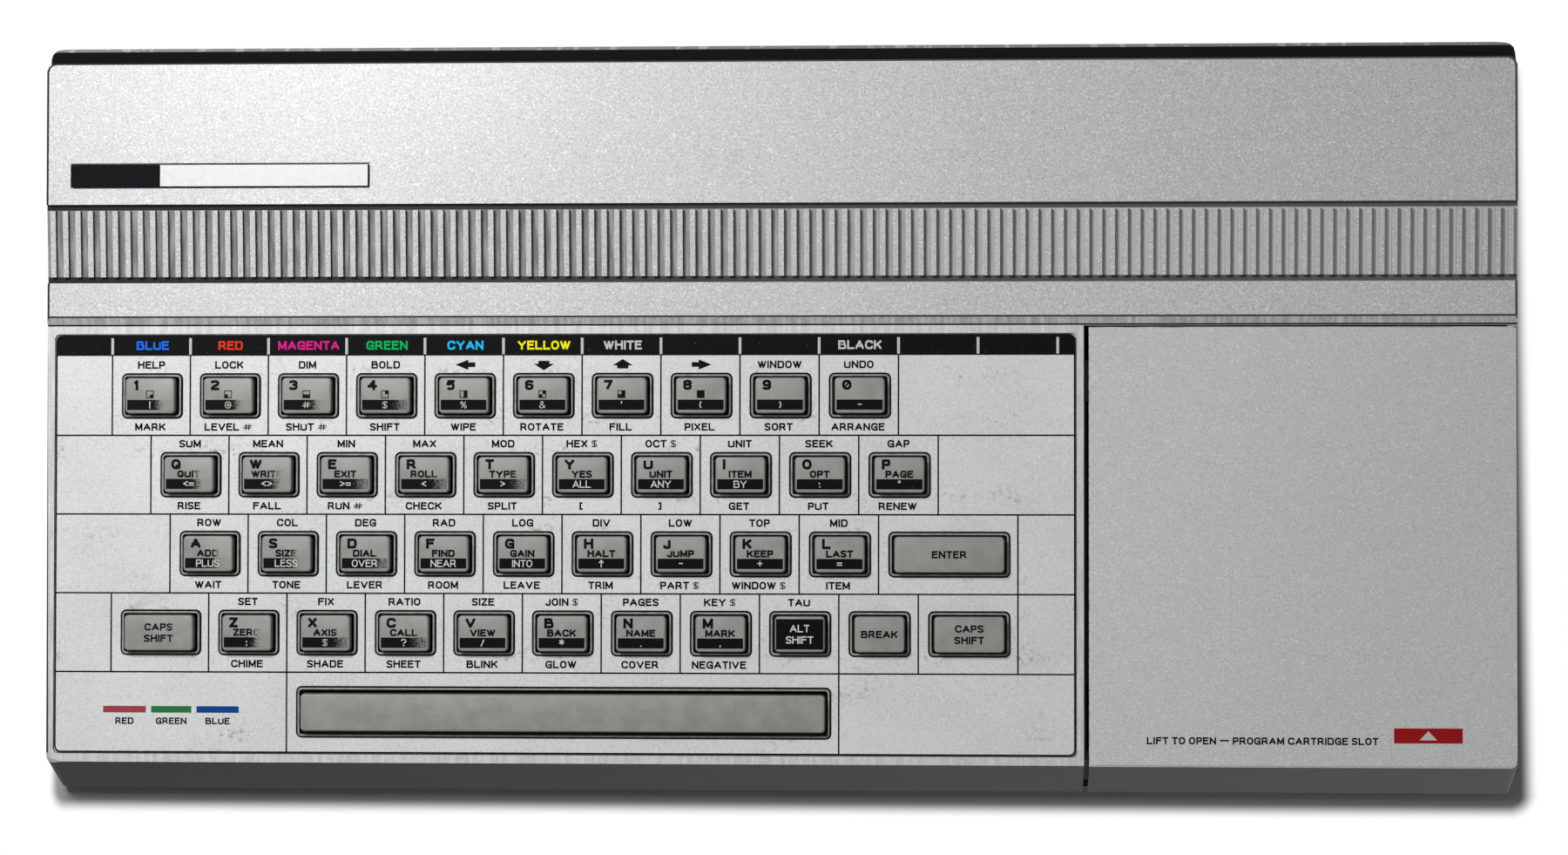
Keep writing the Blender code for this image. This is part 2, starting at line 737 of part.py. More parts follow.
def key_blocks(inset, low_w, high_w):
    """One block per key, smaller than its hole by inset on each side."""
    return [((x - hole[0] / 2 + inset, v - hole[1] / 2 + inset, low_w),
             (x + hole[0] / 2 - inset, v + hole[1] / 2 - inset, high_w)) for name, x, v, hole in key_places]


# Printed plate with its 42 holes
overlay_mesh = blocks_mesh("keyboard_overlay", [((overlay_left, plate_front_v, -plate_thickness),
                                                 (overlay_right, plate_rear_v, 0.0))], plate_corner, 2)
keyboard_overlay = mesh_object("keyboard_overlay", overlay_mesh, keyboard_plane,
                               finish=((0.6, 0.62, 0.63), 0.4, 0.3))
cut(keyboard_overlay, blocks_mesh("key_holes", key_blocks(0.0, -plate_thickness - overrun, overrun),
                                  key_hole_corner), keyboard_plane)

# Key frame: a plate in the window, a skirt down to the backplate and a raised rim round each key
frame_low = (window_low[0] + fit_gap, window_low[1] + fit_gap)
frame_high = (window_high[0] - fit_gap, window_high[1] - fit_gap)
frame_mesh = blocks_mesh("key_frame", [((*frame_low, skirt_bottom_w), (*frame_high, frame_top_w))])
key_frame = mesh_object("key_frame", frame_mesh, keyboard_plane, finish=((0.3, 0.3, 0.29), 0.5, 0.0))
skirt_low = (frame_low[0] + frame_skirt_wall, frame_low[1] + frame_skirt_wall)
skirt_high = (frame_high[0] - frame_skirt_wall, frame_high[1] - frame_skirt_wall)
cut(key_frame, blocks_mesh("frame_hollow", [((*skirt_low, skirt_bottom_w - overrun),
                                             (*skirt_high, frame_bottom_w))]), keyboard_plane)
rim_bottom_w = frame_top_w - frame_thickness / 2
join(key_frame, blocks_mesh("key_rims", key_blocks(fit_gap, rim_bottom_w, frame_rim_rise), key_hole_corner),
     keyboard_plane)
rim_inset = fit_gap + frame_rim_wall
cut(key_frame, blocks_mesh("rim_holes", key_blocks(rim_inset, frame_bottom_w - overrun,
                                                   frame_rim_rise + overrun), key_corner), keyboard_plane)

rubber_mat = mesh_object("rubber_mat", blocks_mesh("rubber_mat", [
    ((skirt_low[0] + fit_gap, skirt_low[1] + fit_gap, backplate_top_w + fit_gap),
     (skirt_high[0] - fit_gap, skirt_high[1] - fit_gap, mat_top_w))]), keyboard_plane,
    finish=((0.25, 0.25, 0.24), 0.8))
keyboard_backplate = mesh_object("keyboard_backplate", blocks_mesh("keyboard_backplate", [
    ((frame_low[0] - backplate_reach, frame_low[1] - backplate_reach, backplate_top_w - backplate_thickness),
     (frame_high[0] + backplate_reach, frame_high[1] + backplate_reach, backplate_top_w))]), keyboard_plane,
    finish=((0.5, 0.5, 0.5), 0.4, 0.9))


def key_mesh(name, hole):
    """A cap on a wider flange that holds it under the key frame, with its origin at its middle."""
    base = [size - 2 * (rim_inset + key_side_play) for size in hole]
    top = [base[0] - 2 * key_top_inset_x, base[1] - 2 * key_top_inset_y]
    reach = key_flange_reach
    bm = bmesh.new()
    add_block(bm, (-base[0] / 2 - reach, -base[1] / 2 - reach, flange_bottom_w),
              (base[0] / 2 + reach, base[1] / 2 + reach, flange_top_w), key_corner)
    face = max(bm.faces, key=lambda item: item.calc_center_median().z)
    bmesh.ops.inset_region(bm, faces=[face], thickness=reach)
    for next_height in (0.0, key_top_height):
        extruded = bmesh.ops.extrude_discrete_faces(bm, faces=[face])
        face = extruded["faces"][0]
        rise = next_height - face.calc_center_median().z
        bmesh.ops.translate(bm, verts=face.verts, vec=(0.0, 0.0, rise))
    bmesh.ops.scale(bm, verts=face.verts, vec=(top[0] / base[0], top[1] / base[1], 1.0))
    bmesh.ops.bevel(bm, geom=list(face.edges), offset=key_edge_round, segments=2, profile=0.5,
                    affect="EDGES")
    return finish_mesh(bm, name)


for name, key_x, key_v, hole in key_places:
    mesh_object(name, key_mesh(name, hole), keyboard_plane, (key_x, key_v, 0.0),
                finish=((0.27, 0.27, 0.265), 0.45))

nameplate = mesh_object("nameplate", blocks_mesh("nameplate", [
    ((*badge_low, badge_floor_w + fit_gap), (*badge_high, badge_floor_w + fit_gap + badge_thickness))]),
    keyboard_plane, finish=((0.65, 0.65, 0.65), 0.3, 0.8))

# Lower case half: a tray with a lip inside the skirt, feet, posts and standoffs
tray_half = (half_width - bottom_inset, half_depth - bottom_inset)
floor_top = floor_height + floor_thickness
bottom_shell = mesh_object("bottom_shell", blocks_mesh("bottom_shell", [
    ((-tray_half[0], -tray_half[1], floor_height), (tray_half[0], tray_half[1], floor_top))],
    rear_corner_radius, 3), finish=(dark_plastic, 0.6))
lip_half = (half_width - wall - fit_gap, half_depth - wall - fit_gap)
lip_front_y = -lip_half[1] + lip_front_play
lip_mesh = blocks_mesh("lip", [((-lip_half[0], lip_front_y, floor_height + floor_thickness / 2),
                                (lip_half[0], lip_half[1], lip_height))])
lip_ring = mesh_object("lip_ring", lip_mesh)
cut(lip_ring, blocks_mesh("lip_inside", [
    ((-lip_half[0] + lip_wall, lip_front_y + lip_wall, 0.0),
     (lip_half[0] - lip_wall, lip_half[1] - lip_wall, lip_height + overrun))]))
boolean(bottom_shell, lip_ring, "UNION")

post_x = half_width - wall - post_radius - post_wall_gap - lip_wall
post_rear_y = half_depth - wall - post_radius - post_wall_gap - lip_wall
post_front_y = -half_depth + wall + front_rake + post_radius
backplate_low_y, backplate_low_z = plane_point(frame_low[1] - backplate_reach,
                                               backplate_top_w - backplate_thickness)
post_places = [
    (-post_x, post_rear_y, ledge_z - wall - fit_gap),
    (post_x, post_rear_y, ledge_z - wall - fit_gap),
    (-post_x, post_front_y, backplate_low_z - fit_gap),
    (post_x, post_front_y, well_bottom - fit_gap),
]
foot_x = half_width - foot_inset_x
foot_y = half_depth - foot_inset_y
lower_drums = []
for x, y, top in post_places:
    base = floor_top - floor_thickness / 2
    lower_drums.append(((x, y, (base + top) / 2), post_radius, top - base, "Z", 20))
for x in (-foot_x, foot_x):
    for y in (-foot_y, foot_y):
        top = floor_height + floor_thickness / 2
        lower_drums.append(((x, y, top / 2), foot_radius, top, "Z", 24))
board_step_y = well_back_y + overrun
standoff_places = [
    (board_left + standoff_radius, board_rear_y - board_rear_clearance),
    (board_right - standoff_radius, board_rear_y - board_rear_clearance),
    (board_right - standoff_radius, board_step_y + board_rear_clearance),
    (board_left + standoff_radius, -board_front_reach + board_rear_clearance),
    (panel_right - board_side_clearance, -board_front_reach + board_rear_clearance),
    (0.0, board_rear_y - board_rear_clearance),
]
for x, y in standoff_places:
    base = floor_top - floor_thickness / 2
    top = board_bottom_height - fit_gap
    lower_drums.append(((x, y, (base + top) / 2), standoff_radius, top - base, "Z", 12))
join(bottom_shell, drums_mesh("posts_and_feet", lower_drums))

screw_bores = []
for x, y, top in post_places:
    depth = min(screw_hole_depth, top - floor_height - floor_thickness / 2)
    screw_bores.append(((x, y, floor_height + depth / 2 - overrun / 2), screw_hole_radius, depth + overrun,
                        "Z", 12))
cut(bottom_shell, drums_mesh("screw_bores", screw_bores))
cut(bottom_shell, drums_mesh("screw_heads", [((x, y, floor_height + screw_head_depth / 2 - overrun / 2),
                                              screw_head_radius, screw_head_depth + overrun, "Z", 16)
                                             for x, y, top in post_places]))
vent_blocks = []
for index in range(vent_slot_count):
    slot_x = vent_left + index * vent_slot_pitch
    vent_blocks.append(((slot_x, vent_front, floor_height - overrun),
                        (slot_x + vent_slot_width, vent_front + vent_slot_length, floor_top + overrun)))
cut(bottom_shell, blocks_mesh("bottom_vents", vent_blocks))

# Main board, an L with a tongue of gold contacts at the rear
board_outline = [
    (board_left, -board_front_reach),
    (panel_right - well_wall - fit_gap - overrun, -board_front_reach),
    (panel_right - well_wall - fit_gap - overrun, board_step_y),
    (board_right, board_step_y),
    (board_right, board_rear_y),
    (tongue_x + tongue_width, board_rear_y),
    (tongue_x + tongue_width, half_depth - tongue_end_inset),
    (tongue_x, half_depth - tongue_end_inset),
    (tongue_x, board_rear_y),
    (board_left, board_rear_y),
]
board_middle_z = board_bottom_height + board_thickness / 2
main_board = mesh_object("main_board", outline_mesh("main_board", board_outline, board_thickness,
                                                    Matrix.Translation((0.0, 0.0, board_middle_z))),
                         finish=((0.03, 0.12, 0.05), 0.5))
# Chips: x and y of the middle as shares of the half width and half depth, then length and width
chip_table = [
    (-0.62, 0.20, 0.052, 0.014), (-0.62, -0.02, 0.037, 0.014), (-0.62, -0.22, 0.037, 0.014),
    (-0.30, 0.22, 0.025, 0.025), (-0.30, -0.14, 0.020, 0.007), (-0.30, -0.28, 0.020, 0.007),
    (-0.12, -0.14, 0.020, 0.007), (-0.12, -0.28, 0.020, 0.007), (0.06, -0.14, 0.020, 0.007),
    (0.06, -0.28, 0.020, 0.007), (0.12, 0.20, 0.037, 0.014), (0.36, 0.46, 0.020, 0.007),
]
chip_blocks = []
for x_share, y_share, length, width in chip_table:
    x = x_share * half_width
    y = y_share * half_depth
    chip_blocks.append(((x - length / 2, y - width / 2, board_middle_z),
                        (x + length / 2, y + width / 2, board_top_height + chip_height)))
join(main_board, blocks_mesh("chips", chip_blocks))
beeper_place = (board_left + beeper_radius + standoff_radius, port_centre_y - 2 * beeper_radius)
join(main_board, drums_mesh("beeper", [((*beeper_place, board_middle_z + beeper_height / 2), beeper_radius,
                                        beeper_height, "Z", 20)]))

# Television modulator with its jack
modulator_front_y = board_rear_y - modulator_size[1]
rf_modulator = mesh_object("rf_modulator", blocks_mesh("rf_modulator", [
    ((modulator_left, modulator_front_y, part_seat_height),
     (modulator_left + modulator_size[0], board_rear_y, part_seat_height + modulator_size[2]))]),
    finish=((0.55, 0.55, 0.55), 0.35, 0.9))
jack_z = (tunnel_low_z + tunnel_high_z) / 2
jack_x = modulator_left + modulator_size[0] / 2


def jack_drums(x, radius, start_y, length):
    return [((x, start_y + length / 2, jack_z), radius, length, "Y", 20)]


join(rf_modulator, drums_mesh("modulator_jack", jack_drums(jack_x, jack_ring_radius, board_rear_y - overrun,
                                                           jack_length + overrun)))
bore_start = board_rear_y + jack_length - jack_bore_depth
cut(rf_modulator, drums_mesh("modulator_jack_bore", jack_drums(jack_x, jack_bore_radius, bore_start,
                                                               jack_bore_depth + overrun)))

# Block of rear jacks: power, two small sockets and a round jack like the modulator's
block_front_y = board_rear_y - jack_block_depth
jack_block = mesh_object("jack_block", blocks_mesh("jack_block", [
    ((jack_block_left, block_front_y, part_seat_height),
     (jack_block_left + jack_block_width, board_rear_y, part_seat_height + jack_block_height))]),
    finish=(black_plastic, 0.5))
socket_x = [jack_block_left + jack_block_width / 2 + (index - 1.5) * socket_spacing for index in range(4)]
join(jack_block, drums_mesh("monitor_jack", jack_drums(socket_x[3], jack_ring_radius, board_rear_y - overrun,
                                                       jack_length + overrun)))
socket_start = board_rear_y - jack_bore_depth
cut(jack_block, drums_mesh("jack_sockets", jack_drums(socket_x[3], jack_bore_radius, bore_start,
                                                      jack_bore_depth + overrun)
                           + jack_drums(socket_x[1], phono_socket_radius, socket_start,
                                        jack_bore_depth + overrun)
                           + jack_drums(socket_x[2], phono_socket_radius, socket_start,
                                        jack_bore_depth + overrun)
                           + jack_drums(socket_x[0], power_socket_radius, socket_start,
                                        jack_bore_depth + overrun)))
join(jack_block, drums_mesh("power_pin", jack_drums(socket_x[0], power_pin_radius, socket_start - overrun,
                                                    jack_bore_depth + overrun / 2)))

# Regulator heatsink: a comb of fins on a base
heatsink_x = heatsink_left
fin_pitch = (heatsink_size[0] - heatsink_fin_wall) / (heatsink_fin_count - 1)
comb = [(heatsink_x, 0.0)]
for index in range(heatsink_fin_count):
    fin_x = heatsink_x + index * fin_pitch
    comb += [(fin_x, heatsink_size[2]), (fin_x + heatsink_fin_wall, heatsink_size[2])]
    if index < heatsink_fin_count - 1:
        comb += [(fin_x + heatsink_fin_wall, heatsink_base), (fin_x + fin_pitch, heatsink_base)]
comb.append((heatsink_x + heatsink_size[0], 0.0))
stand_up = Matrix(((1, 0, 0, 0), (0, 0, -1, 0), (0, 1, 0, 0), (0, 0, 0, 1)))
heatsink_middle_y = board_rear_y - heatsink_rear_inset
heatsink = mesh_object("heatsink", outline_mesh(
    "heatsink", comb, heatsink_size[1],
    Matrix.Translation((0.0, heatsink_middle_y, part_seat_height)) @ stand_up),
    finish=((0.6, 0.6, 0.6), 0.4, 1.0))

# Cartridge connector on the floor of the well, with its slot facing right
connector_x = well_left + fit_gap
connector_y = rake_y(well_floor_height, well_front_offset + well_wall) + connector_front_inset
connector_z = well_floor_height + fit_gap
cartridge_connector = mesh_object("cartridge_connector", blocks_mesh("cartridge_connector", [
    ((connector_x, connector_y, connector_z),
     (connector_x + connector_width, connector_y + connector_length, connector_z + connector_height))]),
    finish=(black_plastic, 0.5))
slot_middle_z = connector_z + connector_height / 2
cut(cartridge_connector, blocks_mesh("connector_slot", [
    ((connector_x + connector_width - connector_slot_depth, connector_y + connector_slot_inset,
      slot_middle_z - connector_slot_width / 2),
     (connector_x + connector_width + overrun, connector_y + connector_length - connector_slot_inset,
      slot_middle_z + connector_slot_width / 2))]))


def shell_outline(inset):
    """Outline of a nine-way socket: a rounded trapezium, wider at the top."""
    half_long = port_shell_length / 2 - inset
    half_tall = port_shell_height / 2 - inset
    chamfer = port_shell_taper - inset / 2
    low_long = half_long - port_shell_taper
    return [(-low_long + chamfer, -half_tall), (low_long - chamfer, -half_tall),
            (low_long, -half_tall + chamfer), (half_long, half_tall - chamfer),
            (half_long - chamfer, half_tall), (-half_long + chamfer, half_tall),
            (-half_long, half_tall - chamfer), (-low_long, -half_tall + chamfer)]


# Joystick sockets: the left one is modelled facing -X, and the right one is turned round
face_left = Matrix(((0, 0, -1, 0), (-1, 0, 0, 0), (0, 1, 0, 0), (0, 0, 0, 1)))
flange_outer = port_flange_depth
for side, turn in (("left", 0.0), ("right", math.pi)):
    name = f"joystick_port_{side}"
    place = (-half_width if side == "left" else half_width, port_centre_y, port_centre_z)
    flange = blocks_mesh(name, [
        ((flange_outer, -port_flange_length / 2, -port_flange_height / 2),
         (flange_outer + port_flange_thickness, port_flange_length / 2, port_flange_height / 2))])
    port = mesh_object(name, flange, None, place, ((0.5, 0.5, 0.5), 0.35, 0.8), (0.0, 0.0, turn))
    body_start = flange_outer + port_flange_thickness - fit_gap
    body_mesh = blocks_mesh(f"{name}_body", [
        ((body_start, -port_body_length / 2, -port_flange_height / 2),
         (body_start + port_body_depth, port_body_length / 2, port_flange_height / 2))])
    shell_length = port_shell_reach
    shell_start = flange_outer + fit_gap - shell_length
    shell_mesh = outline_mesh(f"{name}_shell", shell_outline(0.0), shell_length,
                              Matrix.Translation((shell_start + shell_length / 2, 0.0, 0.0)) @ face_left)
    bore_mesh = outline_mesh(f"{name}_bore", shell_outline(port_shell_wall), shell_length + overrun,
                             Matrix.Translation((shell_start + (shell_length - overrun) / 2, 0.0, 0.0))
                             @ face_left)
    for mesh, operation in ((body_mesh, "UNION"), (shell_mesh, "UNION"), (bore_mesh, "DIFFERENCE")):
        tool = mesh_object(mesh.name, mesh, None, place, None, (0.0, 0.0, turn))
        boolean(port, tool, operation)

# Power rocker: a shallow V across its pivot, modelled pressed at its front half
rocker_half = rocker_length / 2
rocker_end = rocker_face_height + rocker_half * math.tan(rocker_swing)
rocker_rest = -rocker_swing
drum = [(rocker_drum_radius * math.cos(angle), rocker_drum_radius * math.sin(angle))
        for angle in [math.radians(150.0) + math.radians(60.0) * step / 4 for step in range(5)]]
rocker_outline = [(rocker_face_height, 0.0), (rocker_end, rocker_half), (0.0, rocker_half)] + drum
rocker_outline += [(0.0, -rocker_half), (rocker_end, -rocker_half)]
rocker_pivot = (half_width - rocker_pivot_depth, rocker_y, rocker_centre_height)
power_switch = mesh_object("power_switch", outline_mesh("power_switch", rocker_outline, rocker_height,
                                                        Matrix.Rotation(rocker_rest, 4, "Z")),
                           location=rocker_pivot, finish=(black_plastic, 0.4))

# Channel slider behind the rear wall, with its knob in the slot
slider_base_rear = half_depth - wall - fit_gap
slider_place = (slider_left, slider_base_rear, slider_centre_height)
slider_mesh = blocks_mesh("channel_switch", [
    ((-slider_base_width / 2, -slider_base_thickness, -slider_base_height / 2),
     (slider_base_width / 2, 0.0, slider_base_height / 2))])
channel_switch = mesh_object("channel_switch", slider_mesh, location=slider_place,
                             finish=(black_plastic, 0.5))
knob_reach = wall + fit_gap - slider_knob_inset
join(channel_switch, blocks_mesh("slider_knob", [
    ((-slider_knob_width / 2, -slider_base_thickness / 2, -slider_knob_height / 2),
     (slider_knob_width / 2, knob_reach, slider_knob_height / 2))]), None, slider_place)

# Vertices that the cuts leave closer than this become one
weld_distance = 0.00002
for part_object in (top_shell, cartridge_door, bottom_shell, key_frame, keyboard_overlay):
    weld = part_object.modifiers.new("weld", "WELD")
    weld.merge_threshold = weld_distance

round_parts = ("hinge_pin", "rf_modulator", "jack_block", "bottom_shell", "cartridge_door")
for name in round_parts:
    bpy.data.objects[name].data.shade_smooth()
    bpy.data.objects[name].data.set_sharp_from_angle(angle=math.radians(30.0))
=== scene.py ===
# The looks of a vintage home computer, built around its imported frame.
# Lengths along the sloped keyboard plane are called v, and heights over that plane w.
import math

import bmesh
import bpy
from mathutils import Matrix, Vector


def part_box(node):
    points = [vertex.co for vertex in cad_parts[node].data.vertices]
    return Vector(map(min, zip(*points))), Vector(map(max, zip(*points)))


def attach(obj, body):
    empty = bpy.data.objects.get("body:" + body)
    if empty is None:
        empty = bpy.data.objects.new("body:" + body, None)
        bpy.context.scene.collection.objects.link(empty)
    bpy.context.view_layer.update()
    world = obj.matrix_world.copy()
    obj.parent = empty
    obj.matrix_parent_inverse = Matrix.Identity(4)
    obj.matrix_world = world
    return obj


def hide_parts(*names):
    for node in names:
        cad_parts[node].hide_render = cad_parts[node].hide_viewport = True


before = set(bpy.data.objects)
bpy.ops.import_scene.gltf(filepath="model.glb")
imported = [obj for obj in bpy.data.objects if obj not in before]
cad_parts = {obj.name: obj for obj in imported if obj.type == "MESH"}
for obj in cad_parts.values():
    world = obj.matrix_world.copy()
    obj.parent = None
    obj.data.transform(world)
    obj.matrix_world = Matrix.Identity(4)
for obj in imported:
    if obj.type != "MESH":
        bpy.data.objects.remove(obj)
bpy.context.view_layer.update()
print("frame loaded:", len(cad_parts), "nodes")

mm = 0.001
shellLow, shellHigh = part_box("top_shell")
case = {
    "slope": math.radians(6.5),
    "frontRake": 5.7 * mm,
    "frontEdgeZ": 21.5 * mm,
    "panelLength": 111.75 * mm,       # keyboard panel, from the front edge to the step
    "stepRun": 2.2 * mm,
    "stepRise": 1.3 * mm,
    "stripLength": 8.7 * mm,
    "grooveFront": 1.7 * mm,
    "ribLength": 17.0 * mm,
    "grooveRear": 1.4 * mm,
    "deckRise": 3.0 * mm,
    "deckLength": 36.6 * mm,
    "channelDepth": 1.6 * mm,
    "ledge": 4.7 * mm,                # dark ledge behind the deck
    "rearLip": 0.8 * mm,              # light rim along the rear ledge
    "lineWidth": 0.44 * mm,           # seams along the step, painted near-black as the shade in their gaps
}
frontEdgeY = shellLow.y + case["frontRake"]
cosSlope = math.cos(case["slope"])
sinSlope = math.sin(case["slope"])
stripV = case["panelLength"] + case["stepRun"]
channelV = stripV + case["stripLength"]
deckV = channelV + case["grooveFront"] + case["ribLength"] + case["grooveRear"]
deckRearV = deckV + case["deckLength"]
ribRise = (case["deckRise"] - case["stepRise"]) / (deckV - channelV)
planeMatrix = (Matrix.Translation((0.0, frontEdgeY, case["frontEdgeZ"]))
               @ Matrix.Rotation(case["slope"], 4, "X"))
planeInverse = planeMatrix.inverted()


def planeBox(node):                   # lowest and highest x, v and w of a node
    points = [planeInverse @ vertex.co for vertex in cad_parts[node].data.vertices]
    return [Vector(list(map(pick, zip(*points)))) for pick in (min, max)]


def middleV(node):
    low, high = planeBox(node)
    return (low.y + high.y) / 2


keyRowV = middleV("key_1")
keyGrid = keyRowV - middleV("key_q")


# Shader maths as plain expressions
class Value:                          # one output socket
    def __init__(self, nodes, socket):
        self.nodes = nodes
        self.socket = socket

    def maths(self, operation, other=0.0, swap=False):
        pair = [other, self] if swap else [self, other]
        return self.nodes.node("ShaderNodeMath", {"operation": operation}, dict(enumerate(pair)))

    def __add__(self, other):
        return self.maths("ADD", other)

    __radd__ = __add__

    def __sub__(self, other):
        return self.maths("SUBTRACT", other)

    def __rsub__(self, other):
        return self.maths("SUBTRACT", other, swap=True)

    def __mul__(self, other):
        return self.maths("MULTIPLY", other)

    __rmul__ = __mul__

    def __gt__(self, other):
        return self.maths("GREATER_THAN", other)

    def __lt__(self, other):
        return self.maths("LESS_THAN", other)

    def near(self, middle, reach):    # 1 within reach of middle
        return (self - middle).maths("ABSOLUTE") < reach

    def ease(self, low, high):        # 0 below low, 1 above high, smooth between
        return self.nodes.node("ShaderNodeMapRange", {"interpolation_type": "SMOOTHSTEP"},
                               {0: self, 1: low, 2: high, 3: 0.0, 4: 1.0})


class Nodes:                          # the nodes of one material or world
    def __init__(self, tree):
        self.tree = tree

    def feed(self, socket, value):    # value: a Value, a number, a tuple or a screen colour
        if isinstance(value, Value):
            self.tree.links.new(value.socket, socket)
        else:
            socket.default_value = shade(value) if isinstance(value, str) else value

    def node(self, kind, settings=None, inputs=None, output=0):
        made = self.tree.nodes.new(kind)
        for key, value in (settings or {}).items():
            setattr(made, key, value)
        for key, value in (inputs or {}).items():
            self.feed(made.inputs[key], value)
        return Value(self, made.outputs[output])

    def mix(self, factor, first, second):
        return self.node("ShaderNodeMix", {"data_type": "RGBA"},
                         {0: factor, 6: first, 7: second}, 2)


class Look(Nodes):                    # one material
    def __init__(self, name, **fixed):
        self.material = bpy.data.materials.new(name)
        self.material.use_nodes = True
        super().__init__(self.material.node_tree)
        self.shader = self.tree.nodes["Principled BSDF"]
        self.place = self.node("ShaderNodeTexCoord", output="Object")
        self.assign(fixed)

    def assign(self, values):         # to the shader's sockets, by their names
        for key, value in values.items():
            self.feed(self.shader.inputs[key.replace("_", " ")], value)

    def noise(self, scale, detail=2.0, stretch=(1.0, 1.0, 1.0)):
        place = self.node("ShaderNodeVectorMath", {"operation": "MULTIPLY"},
                          {0: self.place, 1: stretch})
        return self.node("ShaderNodeTexNoise", {},
                         {"Vector": place, "Scale": scale, "Detail": detail})

    def pattern(self, plan):
        scale, detail, low, high, *stretch = plan
        return self.noise(scale, detail, *stretch).ease(low, high)

    def split(self, vector):
        parts = self.node("ShaderNodeSeparateXYZ", {}, {0: vector}).socket.node
        return [Value(self, output) for output in parts.outputs]

    # x, v and w of the point, and how squarely its face looks up from the plane
    def plane(self):
        x, y, z = self.split(self.place)
        _, back, up = self.split(self.node("ShaderNodeTexCoord", output="Normal"))
        away = y - frontEdgeY
        rise = z - case["frontEdgeZ"]
        return (x, away * cosSlope + rise * sinSlope, rise * cosSlope - away * sinSlope,
                up * cosSlope - back * sinSlope)

    def finish(self, height=None, depth=0.01 * mm, **varying):
        if height is not None:
            varying["Normal"] = self.node("ShaderNodeBump", {},
                                          {"Strength": 1.0, "Distance": depth, "Height": height})
        self.assign(varying)
        return self.material


def shade(code):                      # a screen colour as light values
    channels = [int(code[place:place + 2], 16) / 255 for place in (0, 2, 4)]
    light = [c / 12.92 if c <= 0.04045 else ((c + 0.055) / 1.055) ** 2.4 for c in channels]
    return (*light, 1.0)


# Finishes. A pattern is a noise: its scale and detail, the values where it starts and where it
# is full, and the stretch of its places where it has one.
silverPaint = {
    "light": "bfc1c1",
    "dark": "bbbdbc",
    "flake": "f0f1f0",
    "grime": "77756f",
    "clouds": (14.0, 3.0, 0.3, 0.7),
    "clumps": (350.0, 2.0, 0.42, 0.62),
    "flakes": (2100.0, 1.0, 0.5, 0.68),
    "dims": (1680.0, 1.0, 0.48, 0.34),
    "patches": (26.0, 4.0, 0.6, 0.8),
    "specks": (420.0, 3.0, 0.45, 0.7),
    "flakeShare": 0.34,
    "clumpShare": 0.22,               # flakes that clumps add
    "dimShare": 0.27,
    "grimeShare": 0.18,
    "grain": 2100.0,
    "bump": 0.012 * mm,
    "metallic": 0.1,
    "roughness": 0.4,
}
darkPlastic = {
    "base": "1b1b19",
    "worn": "2c2b29",
    # painted light: the colour the dark plastic takes on towards the right
    "paintedLight": "757470",
    "wear": (130.0, 4.0, 0.45, 0.75, (0.3, 1.0, 1.0)),
    "wearShare": 0.7,
    "dustAndLightShare": 0.7,
    "paintedLightEnd": 1.2,                   # where the painted light from the right is full, in half widths
    "roughness": 0.6,
}
turns = {"flat": 0.8, "edge": 0.55, "lip": 0.5, "ledge": 0.3}  # how squarely a face looks up


def silver(look, lift=0.0):
    paint = silverPaint
    colour = look.mix(look.pattern(paint["clouds"]), paint["dark"], paint["light"])
    share = look.pattern(paint["clumps"]) * paint["clumpShare"] + (paint["flakeShare"] + lift)
    colour = look.mix(look.pattern(paint["flakes"]) * share, colour, paint["flake"])
    colour = look.mix(look.pattern(paint["dims"]) * paint["dimShare"], colour, paint["grime"])
    grime = look.pattern(paint["patches"]) * look.pattern(paint["specks"])
    return look.mix(grime * paint["grimeShare"], colour, paint["grime"])


def plastic(look):
    worn = look.pattern(darkPlastic["wear"]) * darkPlastic["wearShare"]
    colour = look.mix(worn, darkPlastic["base"], darkPlastic["worn"])
    # Painted light: the dark plastic grows lighter from left to right.
    dustAndLight = look.split(look.place)[0].ease(shellLow.x, shellHigh.x * darkPlastic["paintedLightEnd"])
    return look.mix(dustAndLight * darkPlastic["dustAndLightShare"], colour, darkPlastic["paintedLight"])


casePaint = {
    "lowest": -1.2 * mm,              # the bay's floor under the cover lies lower and stays bare
    "ribFoot": 0.9 * mm,              # the channel is bare up to here over its floor
    "high": -4.0 * mm,                # the ledge and its lip lie over this height
    "seamShift": 0.1 * mm,
    "frontEdge": 2.235 * mm,          # depth of the worn front edge
    "fade": (-90.0 * mm, 150.0 * mm),  # where the painted light on the channel's floor and on the ribs' sides grows, from left to right
    "streaks": (900.0, 3.0, 0.3, 0.75, (1.0, 0.12, 0.12)),
    "border": ("bdbdbb", "dededc"),
    "borderShare": 0.55,
    # painted shade on the step's sloped riser, darker than the paint
    "step": ("7c7c79", "d0d0cd"),
    "stepShadeShare": 0.5,
    # the channel's floor between the ribs: painted shade, darker than the paint, and painted light,
    # lighter towards the right
    "floor": ("70706e", "a0a09e"),
    "floorPaintedLight": "c6c6c4",
    "floorMetallic": 0.15,
    # painted shade: near-black lines where the step meets the panel and the strip
    "seam": "0c0c0b",
    "flank": "b4b4b2",                # sides of the ribs, with painted light that grows towards the right
    "flankShare": 0.8,
    "flankLeast": 0.1,
    # painted shade: the ledge is darker than the bare plastic, as if in shadow
    "ledge": "060606",
    "ledgeRoughness": 0.35,
    "lip": "b2b2b0",
    "lipLeast": 0.6,
    "chips": (300.0, 3.0, 0.5, 0.6),
    "edge": "c8c8c6",
}


